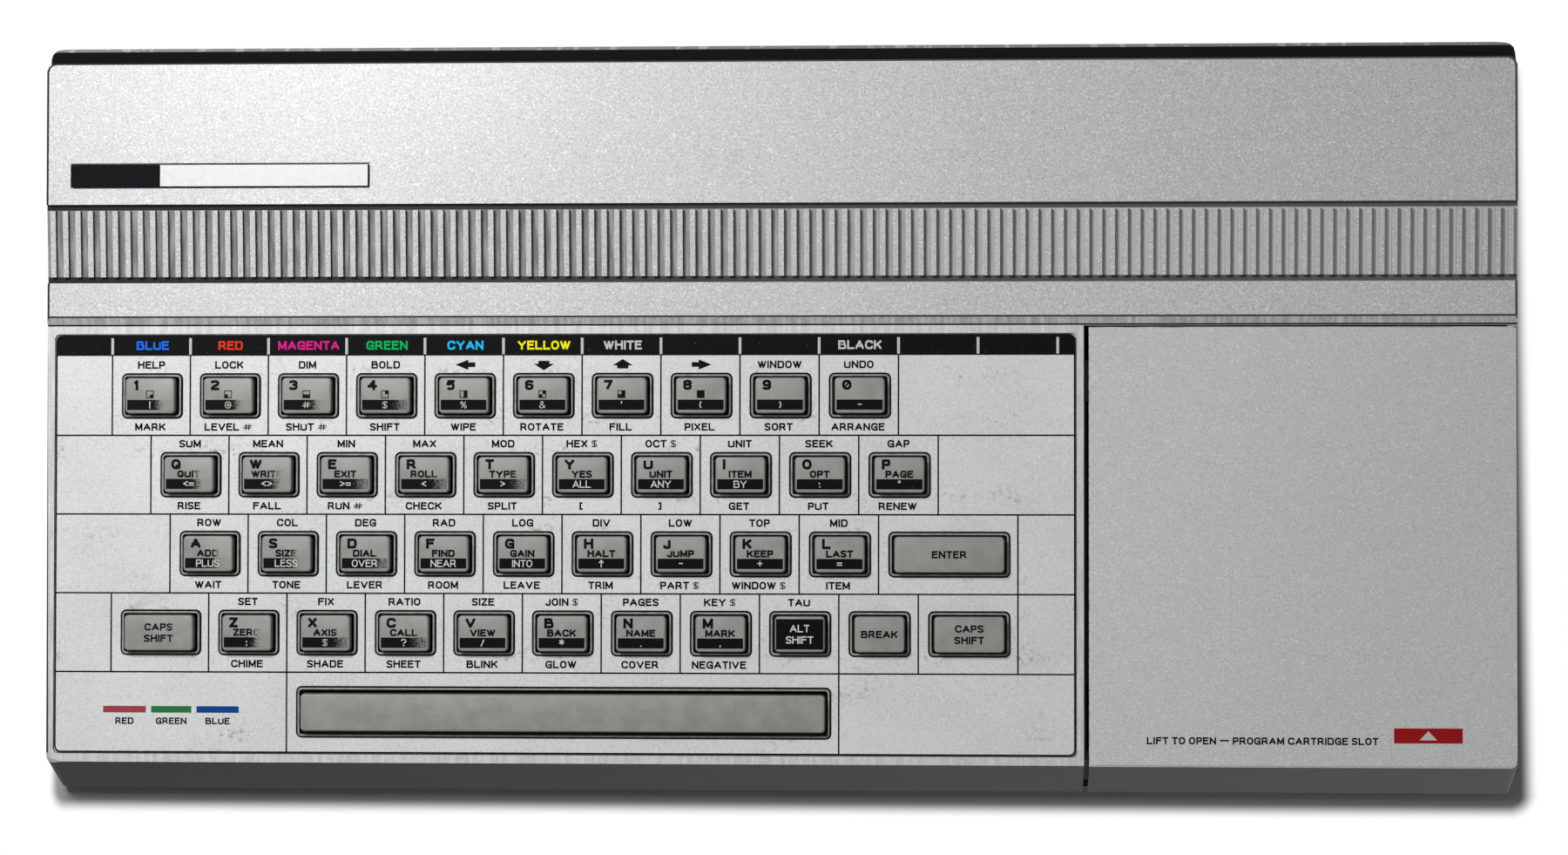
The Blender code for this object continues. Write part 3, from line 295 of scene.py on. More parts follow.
def caseLook():
    look = Look("case_paint_and_plastic", Specular_IOR_Level=0.2)
    paint = casePaint
    x, v, w, up = look.plane()
    y = look.split(look.place)[1]
    channelW = case["stepRise"] - case["channelDepth"]
    top = (up > turns["flat"]) * (w > paint["lowest"])
    overFloor = w - ((v - channelV) * ribRise + channelW)
    channel = (v > channelV) * (v < deckV)
    sunk = channel * (overFloor < paint["ribFoot"])
    painted = top * (1.0 - sunk) * (v < deckRearV)
    recess = top * sunk * (v > channelV + case["grooveFront"]) * (v < deckV - case["grooveRear"])
    border = v < case["panelLength"]
    step = (v > case["panelLength"]) * (v < stripV)
    seams = v.near(case["panelLength"] + paint["seamShift"], case["lineWidth"] / 2)
    seams = (seams + v.near(stripV, case["lineWidth"] / 2)).maths("MINIMUM", 1.0)
    streaks = look.pattern(paint["streaks"])

    colour = silver(look)
    colour = look.mix(border * paint["borderShare"], colour, look.mix(streaks, *paint["border"]))
    # Painted shade on the step's riser.
    colour = look.mix(step * paint["stepShadeShare"], colour, look.mix(streaks, *paint["step"]))
    # Painted shade: near-black lines at the foot and the top of the step.
    colour = look.mix(seams, colour, paint["seam"])
    along = x.ease(*paint["fade"])
    # Painted shade and painted light on the channel's floor: darker than the paint, lighter towards
    # the right.
    floorShadeAndLight = look.mix(along, look.mix(streaks, *paint["floor"]), paint["floorPaintedLight"])
    flank = channel * (up < turns["lip"]) * (w > channelW)
    high = w > paint["high"]
    # The ledge behind the deck, painted near-black as shade.
    ledge = (y > shellHigh.y - case["ledge"]) * (up > turns["ledge"]) * high
    # Painted light on the ribs' bare sides, growing towards the right.
    light = along * paint["flankShare"] + paint["flankLeast"]
    bare = look.mix(flank * light, plastic(look), paint["flank"])
    bare = look.mix(recess, look.mix(ledge, bare, paint["ledge"]), floorShadeAndLight)
    # A light line along the rear rim of the ledge, made uneven by a noise.
    lip = (y > shellHigh.y - case["rearLip"]) * (up > turns["lip"]) * high
    chips = look.pattern(paint["chips"]).maths("MAXIMUM", paint["lipLeast"])
    bare = look.mix(lip * chips, bare, paint["lip"])
    edge = (up > turns["edge"]) * (up < turns["flat"]) * (v < paint["frontEdge"])
    bare = look.mix(edge, bare, paint["edge"])
    smoother = darkPlastic["roughness"] - silverPaint["roughness"]
    return look.finish(
        height=look.noise(silverPaint["grain"], 2.0),
        depth=silverPaint["bump"],
        Base_Color=look.mix(painted, bare, colour),
        Metallic=painted * silverPaint["metallic"] + recess * paint["floorMetallic"],
        Roughness=darkPlastic["roughness"] + ledge * paint["ledgeRoughness"] - painted * smoother,
    )


coverPaint = {
    "lowest": -1.0 * mm,
    "rimLowest": -0.6 * mm,
    "rimMargin": 1.0 * mm,            # no worn rim along the right side
    "lift": -0.04,                    # flakes against those of the case
    "smooth": "cfd1d1",
    "smoothShare": 0.3,
    "rim": "dcdcda",
    "rimLeast": 0.55,
    "rimScuff": 0.45,
    "scuff": (800.0, 2.0, 0.3, 0.55, (0.2, 1.0, 1.0)),
}


def coverLook():
    look = Look("cover_paint_and_plastic", Specular_IOR_Level=0.2)
    plan = coverPaint
    x, _, w, up = look.plane()
    top = (up > turns["flat"]) * (w > plan["lowest"])
    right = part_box("cartridge_door")[1].x - plan["rimMargin"]
    rim = (up > turns["ledge"]) * (up < turns["flat"]) * (w > plan["rimLowest"]) * (x < right)
    paint = look.mix(plan["smoothShare"], silver(look, plan["lift"]), plan["smooth"])
    colour = look.mix(top, plastic(look), paint)
    worn = look.pattern(plan["scuff"]) * plan["rimScuff"] + plan["rimLeast"]
    colour = look.mix(rim * worn, colour, plan["rim"])
    painted = (top + rim).maths("MINIMUM", 1.0)
    smoother = darkPlastic["roughness"] - silverPaint["roughness"]
    return look.finish(
        height=look.noise(silverPaint["grain"], 2.0),
        depth=silverPaint["bump"],
        Base_Color=colour,
        Metallic=painted * silverPaint["metallic"],
        Roughness=darkPlastic["roughness"] - painted * smoother,
    )


tray = {"footTop": 1.45 * mm, "footRoughness": 0.3, "rubber": ("1b1b1a", "282826"),
        "rings": (700.0, 2.0, 0.3, 0.7), "grain": 1500.0, "bump": 0.03 * mm}


def trayLook():
    look = Look("tray_plastic_and_feet", Specular_IOR_Level=0.2)
    foot = look.split(look.place)[2] < tray["footTop"]
    rubber = look.mix(look.pattern(tray["rings"]), *tray["rubber"])
    return look.finish(
        height=look.noise(tray["grain"], 3.0),
        depth=tray["bump"],
        Base_Color=look.mix(foot, plastic(look), rubber),
        Roughness=darkPlastic["roughness"] + foot * tray["footRoughness"],
    )


mottle = {"detail": 3.0, "low": 0.3, "high": 0.7, "roughness": 0.12}  # of plain solid finishes


def solidLook(name, light, dark, roughness, metallic=0.0, scale=400.0, stretch=(1.0, 1.0, 1.0),
              depth=0.01, **fixed):
    look = Look(name, **fixed)
    pattern = look.noise(scale, mottle["detail"], stretch)
    blend = pattern.ease(mottle["low"], mottle["high"])
    return look.finish(
        height=pattern,
        depth=depth * mm,
        Base_Color=look.mix(blend, dark, light),
        Metallic=metallic,
        Roughness=roughness + blend * mottle["roughness"] - mottle["roughness"] / 2,
    )


foil = {
    "colours": ("cfd1d2", "d6d8d8"),
    "clouds": (45.0, 4.0, 0.3, 0.7),
    "flakes": (1500.0, 1.0, 0.55, 0.75),
    "flake": "e8eaea",
    "flakeShare": 0.5,
    "grain": (1900.0, 1.0, 0.5, 0.34),
    "grainColour": "8a8a88",
    "grainShare": 0.2,
    "nearKeys": (3.0 * mm, 6.0 * mm),  # dust starts at these distances from a row's middle
    "farFromKeys": (8.2 * mm, 6.2 * mm),  # and ends at these
    "specks": (800.0, 3.0, 0.5, 0.7),
    "patches": (75.0, 3.0, 0.5, 0.7),
    "dustAndLight": "6c6a64",
    "dustAndLightShare": 0.5,
    "dustLeast": 0.2,
    "bumpScale": 1500.0,
}


def plateLook():
    look = Look("printed_plate_foil", Specular_IOR_Level=0.25)
    colour = look.mix(look.pattern(foil["clouds"]), *foil["colours"])
    colour = look.mix(look.pattern(foil["flakes"]) * foil["flakeShare"], colour, foil["flake"])
    colour = look.mix(look.pattern(foil["grain"]) * foil["grainShare"], colour, foil["grainColour"])
    fromRow = look.plane()[1] - (keyRowV - keyGrid / 2)
    offset = (fromRow.maths("FLOORED_MODULO", keyGrid) - keyGrid / 2).maths("ABSOLUTE")
    besideKeys = offset.ease(*foil["nearKeys"]) * offset.ease(*foil["farFromKeys"])
    dustAndLight = look.pattern(foil["specks"]) * look.pattern(foil["patches"])
    dustAndLight = dustAndLight * (besideKeys * foil["dustAndLightShare"] + foil["dustLeast"])
    return look.finish(
        height=look.noise(foil["bumpScale"], 2.0),
        depth=0.008 * mm,
        Base_Color=look.mix(dustAndLight, colour, foil["dustAndLight"]),
        Metallic=0.08,
        Roughness=0.42,
    )


keyPlastic = {
    "colours": ("868682", "92928e"),
    "blotches": (220.0, 3.0, 0.3, 0.7),
    "blotchRoughness": 0.08,
    "roughness": 0.38,
    "specks": (2600.0, 1.0, 0.6, 0.75),
    "speck": "b4b4b0",
    "speckShare": 0.25,
    # painted shade on the cap's sides
    "side": "20201f",
    "sideShadeShare": 0.75,
    "foot": "060606",                 # painted shade, down in the gap round the cap
    "gapShadeFade": (1.8 * mm, 0.6 * mm),
    "grain": 1800.0,
}


def capLook():
    look = Look("key_cap_plastic", Specular_IOR_Level=0.35)
    plan = keyPlastic
    w, up = look.plane()[2:]
    blotches = look.pattern(plan["blotches"])
    colour = look.mix(blotches, *plan["colours"])
    colour = look.mix(look.pattern(plan["specks"]) * plan["speckShare"], colour, plan["speck"])
    # Painted shade: the cap's sides darker, and black low down in the gap.
    colour = look.mix((up < turns["lip"]) * plan["sideShadeShare"], colour, plan["side"])
    return look.finish(
        height=look.noise(plan["grain"], 2.0),
        depth=0.008 * mm,
        Base_Color=look.mix(w.ease(*plan["gapShadeFade"]), colour, plan["foot"]),
        Roughness=plan["roughness"] + blotches * plan["blotchRoughness"],
    )


# The rim's low parts and steep walls are painted near-black as the shade in the gaps.
rimPlastic = {"lowest": -0.2 * mm, "colours": ("8a8a87", "a6a6a3"), "gap": "141413",
              "wear": (500.0, 2.0, 0.3, 0.7), "grain": 1500.0}


def rimLook():
    look = Look("key_rim_plastic", Specular_IOR_Level=0.25)
    w, up = look.plane()[2:]
    # painted shade on the low and the steep faces
    raised = (w > rimPlastic["lowest"]) * (up > turns["ledge"])
    grey = look.mix(look.pattern(rimPlastic["wear"]), *rimPlastic["colours"])
    return look.finish(
        Base_Color=look.mix(raised, rimPlastic["gap"], grey),
        Roughness=0.45,
        height=look.noise(rimPlastic["grain"], 2.0),
    )


inkWear = {
    "grain": (1300.0, 3.0, 0.66, 0.8),
    "grainShare": 0.15,
    "zone": (0.38, 0.95),             # along the key, from its left side
    "speckles": (2600.0, 3.0),
    "speckleMiddle": 0.5,
    "speckleShare": 0.9,
    "limits": (0.25, 0.75),
    "share": 0.85,
}


def inkLook(name, colour, wear=0.0, under="8c8c88"):
    look = Look(name, Specular_IOR_Level=0.04)
    loss = look.pattern(inkWear["grain"]) * inkWear["grainShare"]
    if wear:
        along = look.split(look.node("ShaderNodeTexCoord", output="UV"))[0]
        speckle = look.noise(*inkWear["speckles"]) - inkWear["speckleMiddle"]
        rubbed = along.ease(*inkWear["zone"]) * wear + speckle * inkWear["speckleShare"]
        loss = (rubbed.ease(*inkWear["limits"]) * inkWear["share"]).maths("MAXIMUM", loss)
    return look.finish(Base_Color=look.mix(loss, colour, under), Roughness=0.5)


finishes = {
    "case": caseLook(),
    "cover": coverLook(),
    "tray": trayLook(),
    "plate": plateLook(),
    "cap": capLook(),
    "rim": rimLook(),
    "blackInk": inkLook("ink_black", "0a0a0b", under="a8aaaa"),
    "keyInk": inkLook("ink_key_black", "080808"),
    "keyInkWorn": inkLook("ink_key_black_worn", "0b0b0b", 0.55, "a0a09c"),
    "keyInkBare": inkLook("ink_key_black_rubbed", "0b0b0b", 0.95, "a0a09c"),
    "keyWhite": inkLook("ink_key_white", "d0d0cc", under="3a3a38"),
    "blackPlastic": solidLook("black_plastic", "1c1c1c", "121212", 0.5, scale=900.0, depth=0.02,
                              Specular_IOR_Level=0.3),
    "steel": solidLook("plated_steel", "a9a9a6", "8f8f8c", 0.34, 1.0, 300.0, (0.15, 1.0, 1.0)),
    "tin": solidLook("tinned_steel", "b4b4b0", "8b8b86", 0.38, 1.0, 160.0),
    "nickel": solidLook("nickel_plate", "c8c6c0", "a8a6a0", 0.24, 1.0, 700.0),
    "gold": solidLook("gold_contact", "e2bc5c", "c89c44", 0.4, 0.5, 600.0),
    "alloy": solidLook("heatsink_alloy", "b2b2b0", "989896", 0.4, 1.0, 500.0, (1.0, 0.1, 1.0)),
    "rubber": solidLook("mat_rubber", "232322", "191918", 0.75, scale=700.0, depth=0.03),
    "badgeSilver": solidLook("badge_silver", "c3c3c2", "a6a6a4", 0.45, 0.2, 500.0),
    "badgeBlack": solidLook("badge_black", "141418", "0d0d10", 0.6, scale=1200.0,
                            Specular_IOR_Level=0.04),
}
for name, code in (
    ("blue", "1f6fe8"), ("red", "e03a26"), ("magenta", "d4208c"), ("green", "10b060"),
    ("cyan", "1cc0fa"), ("yellow", "f6f01c"), ("white", "c8c8c8"),
):
    finishes[name + "Ink"] = inkLook("ink_" + name, code, under="6d6d6b")
for name, code in (
    ("red", "a0424a"), ("green", "2b7543"), ("blue", "12448f"), ("cover_red", "a01a1e"),
):
    finishes[name + "Bar"] = inkLook("ink_bar_" + name, code, under="8a8a88")
print("finishes made:", len(finishes))


board = {
    "tracks": (260.0, 0.0, 0.5, 0.53, (0.15, 1.0, 1.0)),
    "green": ("1c4a2a", "2c6a3c"),
    "chips": (300.0, 2.0, 0.3, 0.7),
    "chip": ("161616", "202020"),
    "chipRise": 1.8 * mm,             # everything higher over the board's underside is a chip
    "roughness": 0.4,
    "chipRoughness": 0.12,
    "bump": 0.03 * mm,
}


def boardLook():
    look = Look("circuit_board")
    tracks = look.pattern(board["tracks"])
    green = look.mix(tracks, *board["green"])
    chip = look.mix(look.pattern(board["chips"]), *board["chip"])
    high = look.split(look.place)[2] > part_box("main_board")[0].z + board["chipRise"]
    return look.finish(
        Base_Color=look.mix(high, green, chip),
        Roughness=board["roughness"] + high * board["chipRoughness"],
        height=tracks,
        depth=board["bump"],
    )


finishes["board"] = boardLook()
coats = {
    "top_shell": "case", "cartridge_door": "cover", "bottom_shell": "tray", "rubber_mat": "rubber",
    "keyboard_backplate": "steel", "main_board": "board", "rf_modulator": "tin",
    "jack_block": "blackPlastic", "heatsink": "alloy", "cartridge_connector": "blackPlastic",
    "hinge_pin": "nickel",
    "power_switch": "blackPlastic", "channel_switch": "blackPlastic",
    "joystick_port_left": "nickel", "joystick_port_right": "nickel",
}
for name, finish in coats.items():
    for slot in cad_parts[name].material_slots:
        slot.material = finishes[finish]
print("frame nodes coated:", len(coats))


# Making of pieces
def link(name, data):
    made = bpy.data.objects.new(name, data)
    bpy.context.scene.collection.objects.link(made)
    return made


def paintNew(bm, older, material):    # older: the set of faces that keep their material
    for face in bm.faces:
        if face not in older:
            face.material_index = material


def edgesOf(verts):                   # each edge once, in a fixed order
    return list(dict.fromkeys(edge for vert in verts for edge in vert.link_edges))


def rounded(bm, edges, offset, segments):
    bmesh.ops.bevel(bm, geom=edges, offset=offset, segments=segments, profile=0.5, material=-1,
                    affect="EDGES")


def block(bm, low, high, corner=0.0, segments=3, material=0):
    older = set(bm.faces)
    size = [b - a for a, b in zip(low, high)]
    verts = bmesh.ops.create_cube(bm, size=1.0)["verts"]
    bmesh.ops.scale(bm, verts=verts, vec=size)
    bmesh.ops.translate(bm, verts=verts, vec=[(a + b) / 2 for a, b in zip(low, high)])
    if corner:
        upright = [edge for edge in edgesOf(verts)
                   if abs(edge.verts[0].co.z - edge.verts[1].co.z) > size[2] / 2]
        rounded(bm, upright, corner, segments)
    paintNew(bm, older, material)


def drum(bm, middle, radius, length, axis, sides, edge, material=0):
    older = set(bm.faces)
    turn = Matrix.Rotation(math.pi / 2 if axis == "X" else 0.0, 4, "Y")
    made = bmesh.ops.create_cone(bm, cap_ends=True, segments=sides, radius1=radius, radius2=radius,
                                 depth=length, matrix=Matrix.Translation(middle) @ turn)
    ends = [item for item in edgesOf(made["verts"])
            if any(len(face.verts) > 4 for face in item.link_faces)]
    rounded(bm, ends, edge, 2)
    paintNew(bm, older, material)


def boxOutline(low, high):
    return [low, (high[0], low[1]), high, (low[0], high[1])]


def roundedOutline(low, high, radius, steps=5):
    points = []
    corners = ((high[0], high[1]), (low[0], high[1]), (low[0], low[1]), (high[0], low[1]))
    for quarter, (x, y) in enumerate(corners):
        inward = (-1 if quarter in (0, 3) else 1, -1 if quarter in (0, 1) else 1)
        for step in range(steps):
            angle = math.pi / 2 * (quarter + step / (steps - 1))
            points.append((x + radius * (inward[0] + math.cos(angle)),
                           y + radius * (inward[1] + math.sin(angle))))
    return points


def flatSolid(bm, outlines, lowW, highW, edge=0.0, material=0, matrix=None):
    curve = bpy.data.curves.new("outline", "CURVE")
    curve.dimensions = "2D"
    curve.fill_mode = "BOTH"
    curve.extrude = (highW - lowW) / 2 - edge
    curve.bevel_depth = edge
    curve.bevel_resolution = 1
    curve.offset = -edge
    for points in outlines:
        spline = curve.splines.new("POLY")
        spline.points.add(len(points) - 1)
        for point, (a, b) in zip(spline.points, points):
            point.co = (a, b, 0.0, 1.0)
        spline.use_cyclic_u = True
    holder = link("outline", curve)
    bpy.context.view_layer.update()
    shown = holder.evaluated_get(bpy.context.evaluated_depsgraph_get())
    mesh = bpy.data.meshes.new_from_object(shown)
    bpy.data.objects.remove(holder)
    bpy.data.curves.remove(curve)
    mesh.transform(Matrix.Translation((0.0, 0.0, (lowW + highW) / 2)))
    solid = bmesh.new()
    solid.from_mesh(mesh)
    bmesh.ops.remove_doubles(solid, verts=solid.verts, dist=0.001 * mm)
    bmesh.ops.recalc_face_normals(solid, faces=solid.faces)
    solid.to_mesh(mesh)
    solid.free()
    if matrix:
        mesh.transform(matrix)
    older = set(bm.faces)
    bm.from_mesh(mesh)
    bpy.data.meshes.remove(mesh)
    paintNew(bm, older, material)


def piece(name, bm, materials, body, replaces=(), matrix=None, smooth=35.0):
    mesh = bpy.data.meshes.new(name)
    bm.to_mesh(mesh)
    bm.free()
    if matrix:
        mesh.transform(matrix)
    for key in materials:
        mesh.materials.append(finishes[key])
    mesh.shade_smooth()
    mesh.set_sharp_from_angle(angle=math.radians(smooth))
    made = link(name, mesh)
    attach(made, body)
    if replaces:
        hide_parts(*replaces)


# Lettering as strokes on a grid where a capital is 9 high: each point is two hexadecimal digits,
# x and y. A stroke that starts with ~ is curved, with o a closed curve, and with = thin.
glyphs = {
    "A": "004980 1373", "B": "0009 ~094969654505 ~055575704000", "C": "~767909007073",
    "D": "30000939 ~39797030", "E": "69090060 0555", "F": "690900 0555",
    "G": "~767909007073 447470", "H": "0009 7079 0575", "I": "0009", "J": "~5952500003",
    "K": "0009 7903 3570", "L": "090060", "M": "0009418980", "N": "00097079", "O": "o09797000",
    "P": "0009 ~094969644404", "Q": "o09797000 4370", "R": "0009 ~094969644404 4470",
    "S": "~6769090564600002", "T": "0969 3930", "U": "~090300707379", "V": "094089",
    "W": "09305970a9", "X": "0079 0970", "Y": "094489 4440", "Z": "09690060",
    "0": "o09797000 =0079", "1": "173930", "2": "~070969651300 0060",
    "3": "~0709696525 ~2565600002", "4": "50590373", "5": "691905 ~053666601001",
    "6": "~6769090403 o05656000", "7": "096920", "8": "o09696505 o05656000",
    "9": "o09696404 ~6665600002", "!": "0903 0100", "@": "o09898000 o36666333",
    "#": "3049 7089 03a3 16b6", "$": "~6769090564600002 3930", "%": "o09393505 o54848050 1079",
    "&": "~801729595603005084", "'": "0907", "(": "~29070220", ")": "~09272200", "<": "680562",
    ">": "086502", "=": "0666 0363", "+": "0565 3832", "-": "1555", "*": "3933 0864 0468",
    "/": "0049", "^": "3930 063966", "\"": "0907 2927", ";": "0605 110000", ":": "0605 0100",
    ",": "110000", ".": "0100", "?": "~070969653433 3130", "{": "29090020", "}": "09292000",
    "\u2013": "05b5",
}
lettering = {
    "grid": 9,
    "squeeze": 0.85,
    "stroke": 0.225,                  # thickness of a stroke as a share of a capital's height
    "gap": 1.0,                       # clear space between letters, in grid units
    "blank": 3.4,                     # a word space, in grid units
    "ridge": 0.008 * mm,
    "thickness": 0.02 * mm,
    "lift": 0.02 * mm,                # height of ink over the surface it is printed on
    "mitre": 1.5,
    "sharpest": -0.1,                 # cosine of the sharpest turn within one ribbon
    "slantReach": 0.5,                # how far a slanting stroke runs on, against an upright one
    "fineSigns": "#@%&$",             # drawn with thinner strokes
    "fineShare": 0.62,
}


def cornersCut(points, closed, rounds=2):
    for _ in range(rounds):
        pairs = list(zip(points, points[1:] + points[:1] if closed else points[1:]))
        cut = [corner for a, b in pairs for corner in (a.lerp(b, 0.25), a.lerp(b, 0.75))]
        points = cut if closed else [points[0]] + cut[1:-1] + [points[-1]]
    return points


def partedAtCorners(points):          # runs of points without a turn too sharp to mitre
    runs = [[points[0]]]
    for before, point, after in zip(points, points[1:], points[2:]):
        runs[-1].append(point)
        turn = (point - before).normalized().dot((after - point).normalized())
        if turn < lettering["sharpest"]:
            runs.append([point])
    runs[-1].append(points[-1])
    return runs


def ribbon(bm, points, closed, half, w, material):
    sides = []
    count = len(points)
    least = 0.01                      # keeps the mitre of a stroke that doubles back finite
    for index, point in enumerate(points):
        before = points[index - 1] if index or closed else None
        after = points[(index + 1) % count] if index + 1 < count or closed else None
        into = (point - before).normalized() if before else (after - point).normalized()
        out = (after - point).normalized() if after else into
        across = Vector((-(into.y + out.y), into.x + out.x))
        across = across.normalized() if across.length > least else Vector((-into.y, into.x))
        facing = max(across.dot(Vector((-into.y, into.x))), least)
        reach = half * min(1.0 / facing, lettering["mitre"])
        heights = (w, w + lettering["ridge"], w)
        sides.append([bm.verts.new((*(point + across * reach * part), height))
                      for part, height in zip((1, 0, -1), heights)])
    for first, second in zip(sides, sides[1:] + sides[:1] if closed else sides[1:]):
        for part in (0, 1):
            face = bm.faces.new((first[part], first[part + 1], second[part + 1], second[part]))
            face.material_index = material


def words(bm, text, x, v, w, height, stroke=lettering["stroke"], material=0, align="CENTER",
          gap=lettering["gap"]):
    grid = lettering["grid"]
    unit = height / grid
    thick = stroke * grid
    pen = 0.0
    strokes = []
    for letter in text:
        if letter == " ":
            pen += lettering["blank"]
            continue
        widest = 0.0
        for part in glyphs[letter].split():
            kind = part[0] if part[0] in "~o=" else ""
            fine = letter in lettering["fineSigns"] or kind == "="
            half = unit * thick / 2 * (lettering["fineShare"] if fine else 1.0)
            digits = part[len(kind):]
            points = [Vector((int(digits[at], 16) * lettering["squeeze"], float(digits[at + 1])))
                      for at in range(0, len(digits), 2)]
            widest = max([widest] + [point.x for point in points])
            strokes.append((kind, pen, points, half))
        pen += widest + thick + gap
    shift = Vector((thick / 2 - ((pen - gap) / 2 if align == "CENTER" else 0.0), 0.0))
    # strokes end half their thickness inside the capital's height
    shrink = (grid - thick) / grid
    for kind, start, points, half in strokes:
        placed = [Vector((x, v)) + unit * (shift + Vector((
            point.x + start, point.y * shrink + thick / 2 - grid / 2))) for point in points]
        runs = [cornersCut(placed, kind == "o")] if kind else partedAtCorners(placed)
        for run in runs:
            for end, other in () if kind else ((0, 1), (-1, -2)):
                outward = (run[end] - run[other]).normalized()
                upright = abs(outward.x * outward.y) < 0.01
                run[end] = run[end] + outward * half * (1.0 if upright else lettering["slantReach"])
            ribbon(bm, run, kind == "o", half, w, material)


def inkBlock(bm, lowX, lowV, highX, highV, w, material=0):
    block(bm, (lowX, lowV, w - lettering["thickness"]), (highX, highV, w), material=material)


def inkShape(bm, outlines, w, material=0):
    flatSolid(bm, outlines, w - lettering["thickness"], w, material=material)


# Keyboard: where the keys are, and the holes round them
keyRows = [["key_" + name for name in row.split()] for row in (
    "1 2 3 4 5 6 7 8 9 0",
    "q w e r t y u i o p",
    "a s d f g h j k l enter",
    "shift_left z x c v b n m symbol_shift break shift_right",
    "space",
)]
cap = {
    "flangeReach": 0.8 * mm,
    "flangeTop": -3.2 * mm,
    "flangeBottom": -4.2 * mm,
    "holeMargin": 1.05 * mm,          # from the cap's foot to the hole in the plate
    "height": 3.2 * mm,
    "leanX": 0.45 * mm,
    "leanV": 0.15 * mm,
    "barLeanV": 0.75 * mm,            # the long sides of the space bar lean more
    "barShape": 6,                    # a foot longer than this many times its depth is the bar's
    "corner": 1.0 * mm,
    "edge": 0.35 * mm,
}
keySpots = {}
for name in sum(keyRows, []):
    low, high = planeBox(name)
    foot = (high.x - low.x - 2 * cap["flangeReach"], high.y - low.y - 2 * cap["flangeReach"])
    keySpots[name] = {"x": (low.x + high.x) / 2, "v": (low.y + high.y) / 2, "foot": foot}
plateLow, plateHigh = planeBox("keyboard_overlay")
frameLow, frameHigh = planeBox("key_frame")


def holes(*plans):                    # outlines round all keys; a plan is an inset and a corner
    outlines = []
    for spot in keySpots.values():
        for inset, corner in plans:
            halfX, halfV = (size / 2 + cap["holeMargin"] - inset for size in spot["foot"])
            outlines.append(roundedOutline((spot["x"] - halfX, spot["v"] - halfV),
                                           (spot["x"] + halfX, spot["v"] + halfV), corner))
    return outlines


plate = {"corner": 1.6 * mm, "holeCorner": 1.3 * mm, "edge": 0.05 * mm, "smooth": 12.0}
bm = bmesh.new()
plateOutline = roundedOutline(plateLow, plateHigh, plate["corner"])
flatSolid(bm, [plateOutline] + holes((0.0, plate["holeCorner"])), plateLow.z, plateHigh.z,
          plate["edge"])
piece("keyboard_plate", bm, ["plate"], "case", ["keyboard_overlay"], planeMatrix,
      plate["smooth"])

rims = {
    "gap": 0.3 * mm,                  # black line between the plate and a rim
    "wall": 0.45 * mm,
    "top": 0.5 * mm,
    "edge": 0.12 * mm,
    "plateTop": -0.9 * mm,
    "plateBottom": -2.9 * mm,
    "skirtWall": 1.2 * mm,
    "skirtCorner": 0.5 * mm,
    "corner": 1.1 * mm,
}
bm = bmesh.new()
inside = Vector((rims["skirtWall"], rims["skirtWall"], 0.0))
skirt = [roundedOutline(low, high, rims["skirtCorner"], 3)
         for low, high in ((frameLow, frameHigh), (frameLow + inside, frameHigh - inside))]
flatSolid(bm, skirt[:1] + holes((rims["gap"] + rims["wall"] / 2, rims["corner"])),
          rims["plateBottom"], rims["plateTop"])
flatSolid(bm, holes((rims["gap"], rims["corner"]),
                    (rims["gap"] + rims["wall"], rims["corner"] - rims["wall"])),
          rims["plateBottom"], rims["top"], rims["edge"])
flatSolid(bm, skirt, frameLow.z, rims["plateBottom"])
piece("key_rims", bm, ["rim"], "case", ["key_frame"], planeMatrix, plate["smooth"])
print("plate and rims made")

# Print on the plate: words behind and before the keys of each row, parted by commas
plateWords = {
    "behind": (
        "HELP,LOCK,DIM,BOLD,,,,,WINDOW,UNDO",
        "SUM,MEAN,MIN,MAX,MOD,HEX $,OCT $,UNIT,SEEK,GAP",
        "ROW,COL,DEG,RAD,LOG,DIV,LOW,TOP,MID",
        ",SET,FIX,RATIO,SIZE,JOIN $,PAGES,KEY $,TAU",
        "",
    ),
    "before": (
        "MARK,LEVEL #,SHUT #,SHIFT,WIPE,ROTATE,FILL,PIXEL,SORT,ARRANGE",
        "RISE,FALL,RUN #,CHECK,SPLIT,{,},GET,PUT,RENEW",
        "WAIT,TONE,LEVER,ROOM,LEAVE,TRIM,PART $,WINDOW $,ITEM",
        ",CHIME,SHADE,SHEET,BLINK,GLOW,COVER,NEGATIVE",
        "",
    ),
}
stripWords = {                        # in the black strip, by the column of a digit key
    0: "BLUE", 1: "RED", 2: "MAGENTA", 3: "GREEN", 4: "CYAN", 5: "YELLOW", 6: "WHITE", 9: "BLACK",
}
printed = {
    "top": plateHigh.z + lettering["lift"],
    "line": 0.4 * mm,
    "ring": 0.18 * mm,                # black line round each key's hole
    "strip": 5.3 * mm,                # depth of the black strip at the rear of the plate
    "ticks": 13,
    "tickWidth": 0.68 * mm,
    "tickMargin": 0.35 * mm,
    "arrowScale": 1.1,
    "wordOffset": 7.95 * mm,
    "shift": -0.3 * mm,               # the print lies a little left of the keys
    "lowShift": -0.5 * mm,            # the same for the words before the keys
    "wordHeight": 1.95 * mm,
    "stripWordHeight": 2.3 * mm,
    "stripStroke": 0.215,
}
printMaterials = ["blackInk", "whiteInk", "redBar", "greenBar", "blueBar", "redInk", "greenInk",
                  "blueInk", "magentaInk", "cyanInk", "yellowInk"]
bm = bmesh.new()
printW = printed["top"]
line = printed["line"]
stripLow = plateHigh.y - printed["strip"]
firstX = keySpots["key_1"]["x"]
inkShape(bm, holes((-printed["ring"], plate["holeCorner"] + printed["ring"]),
                   (0.0, plate["holeCorner"])), printW)
inward = Vector((line, line, 0.0))
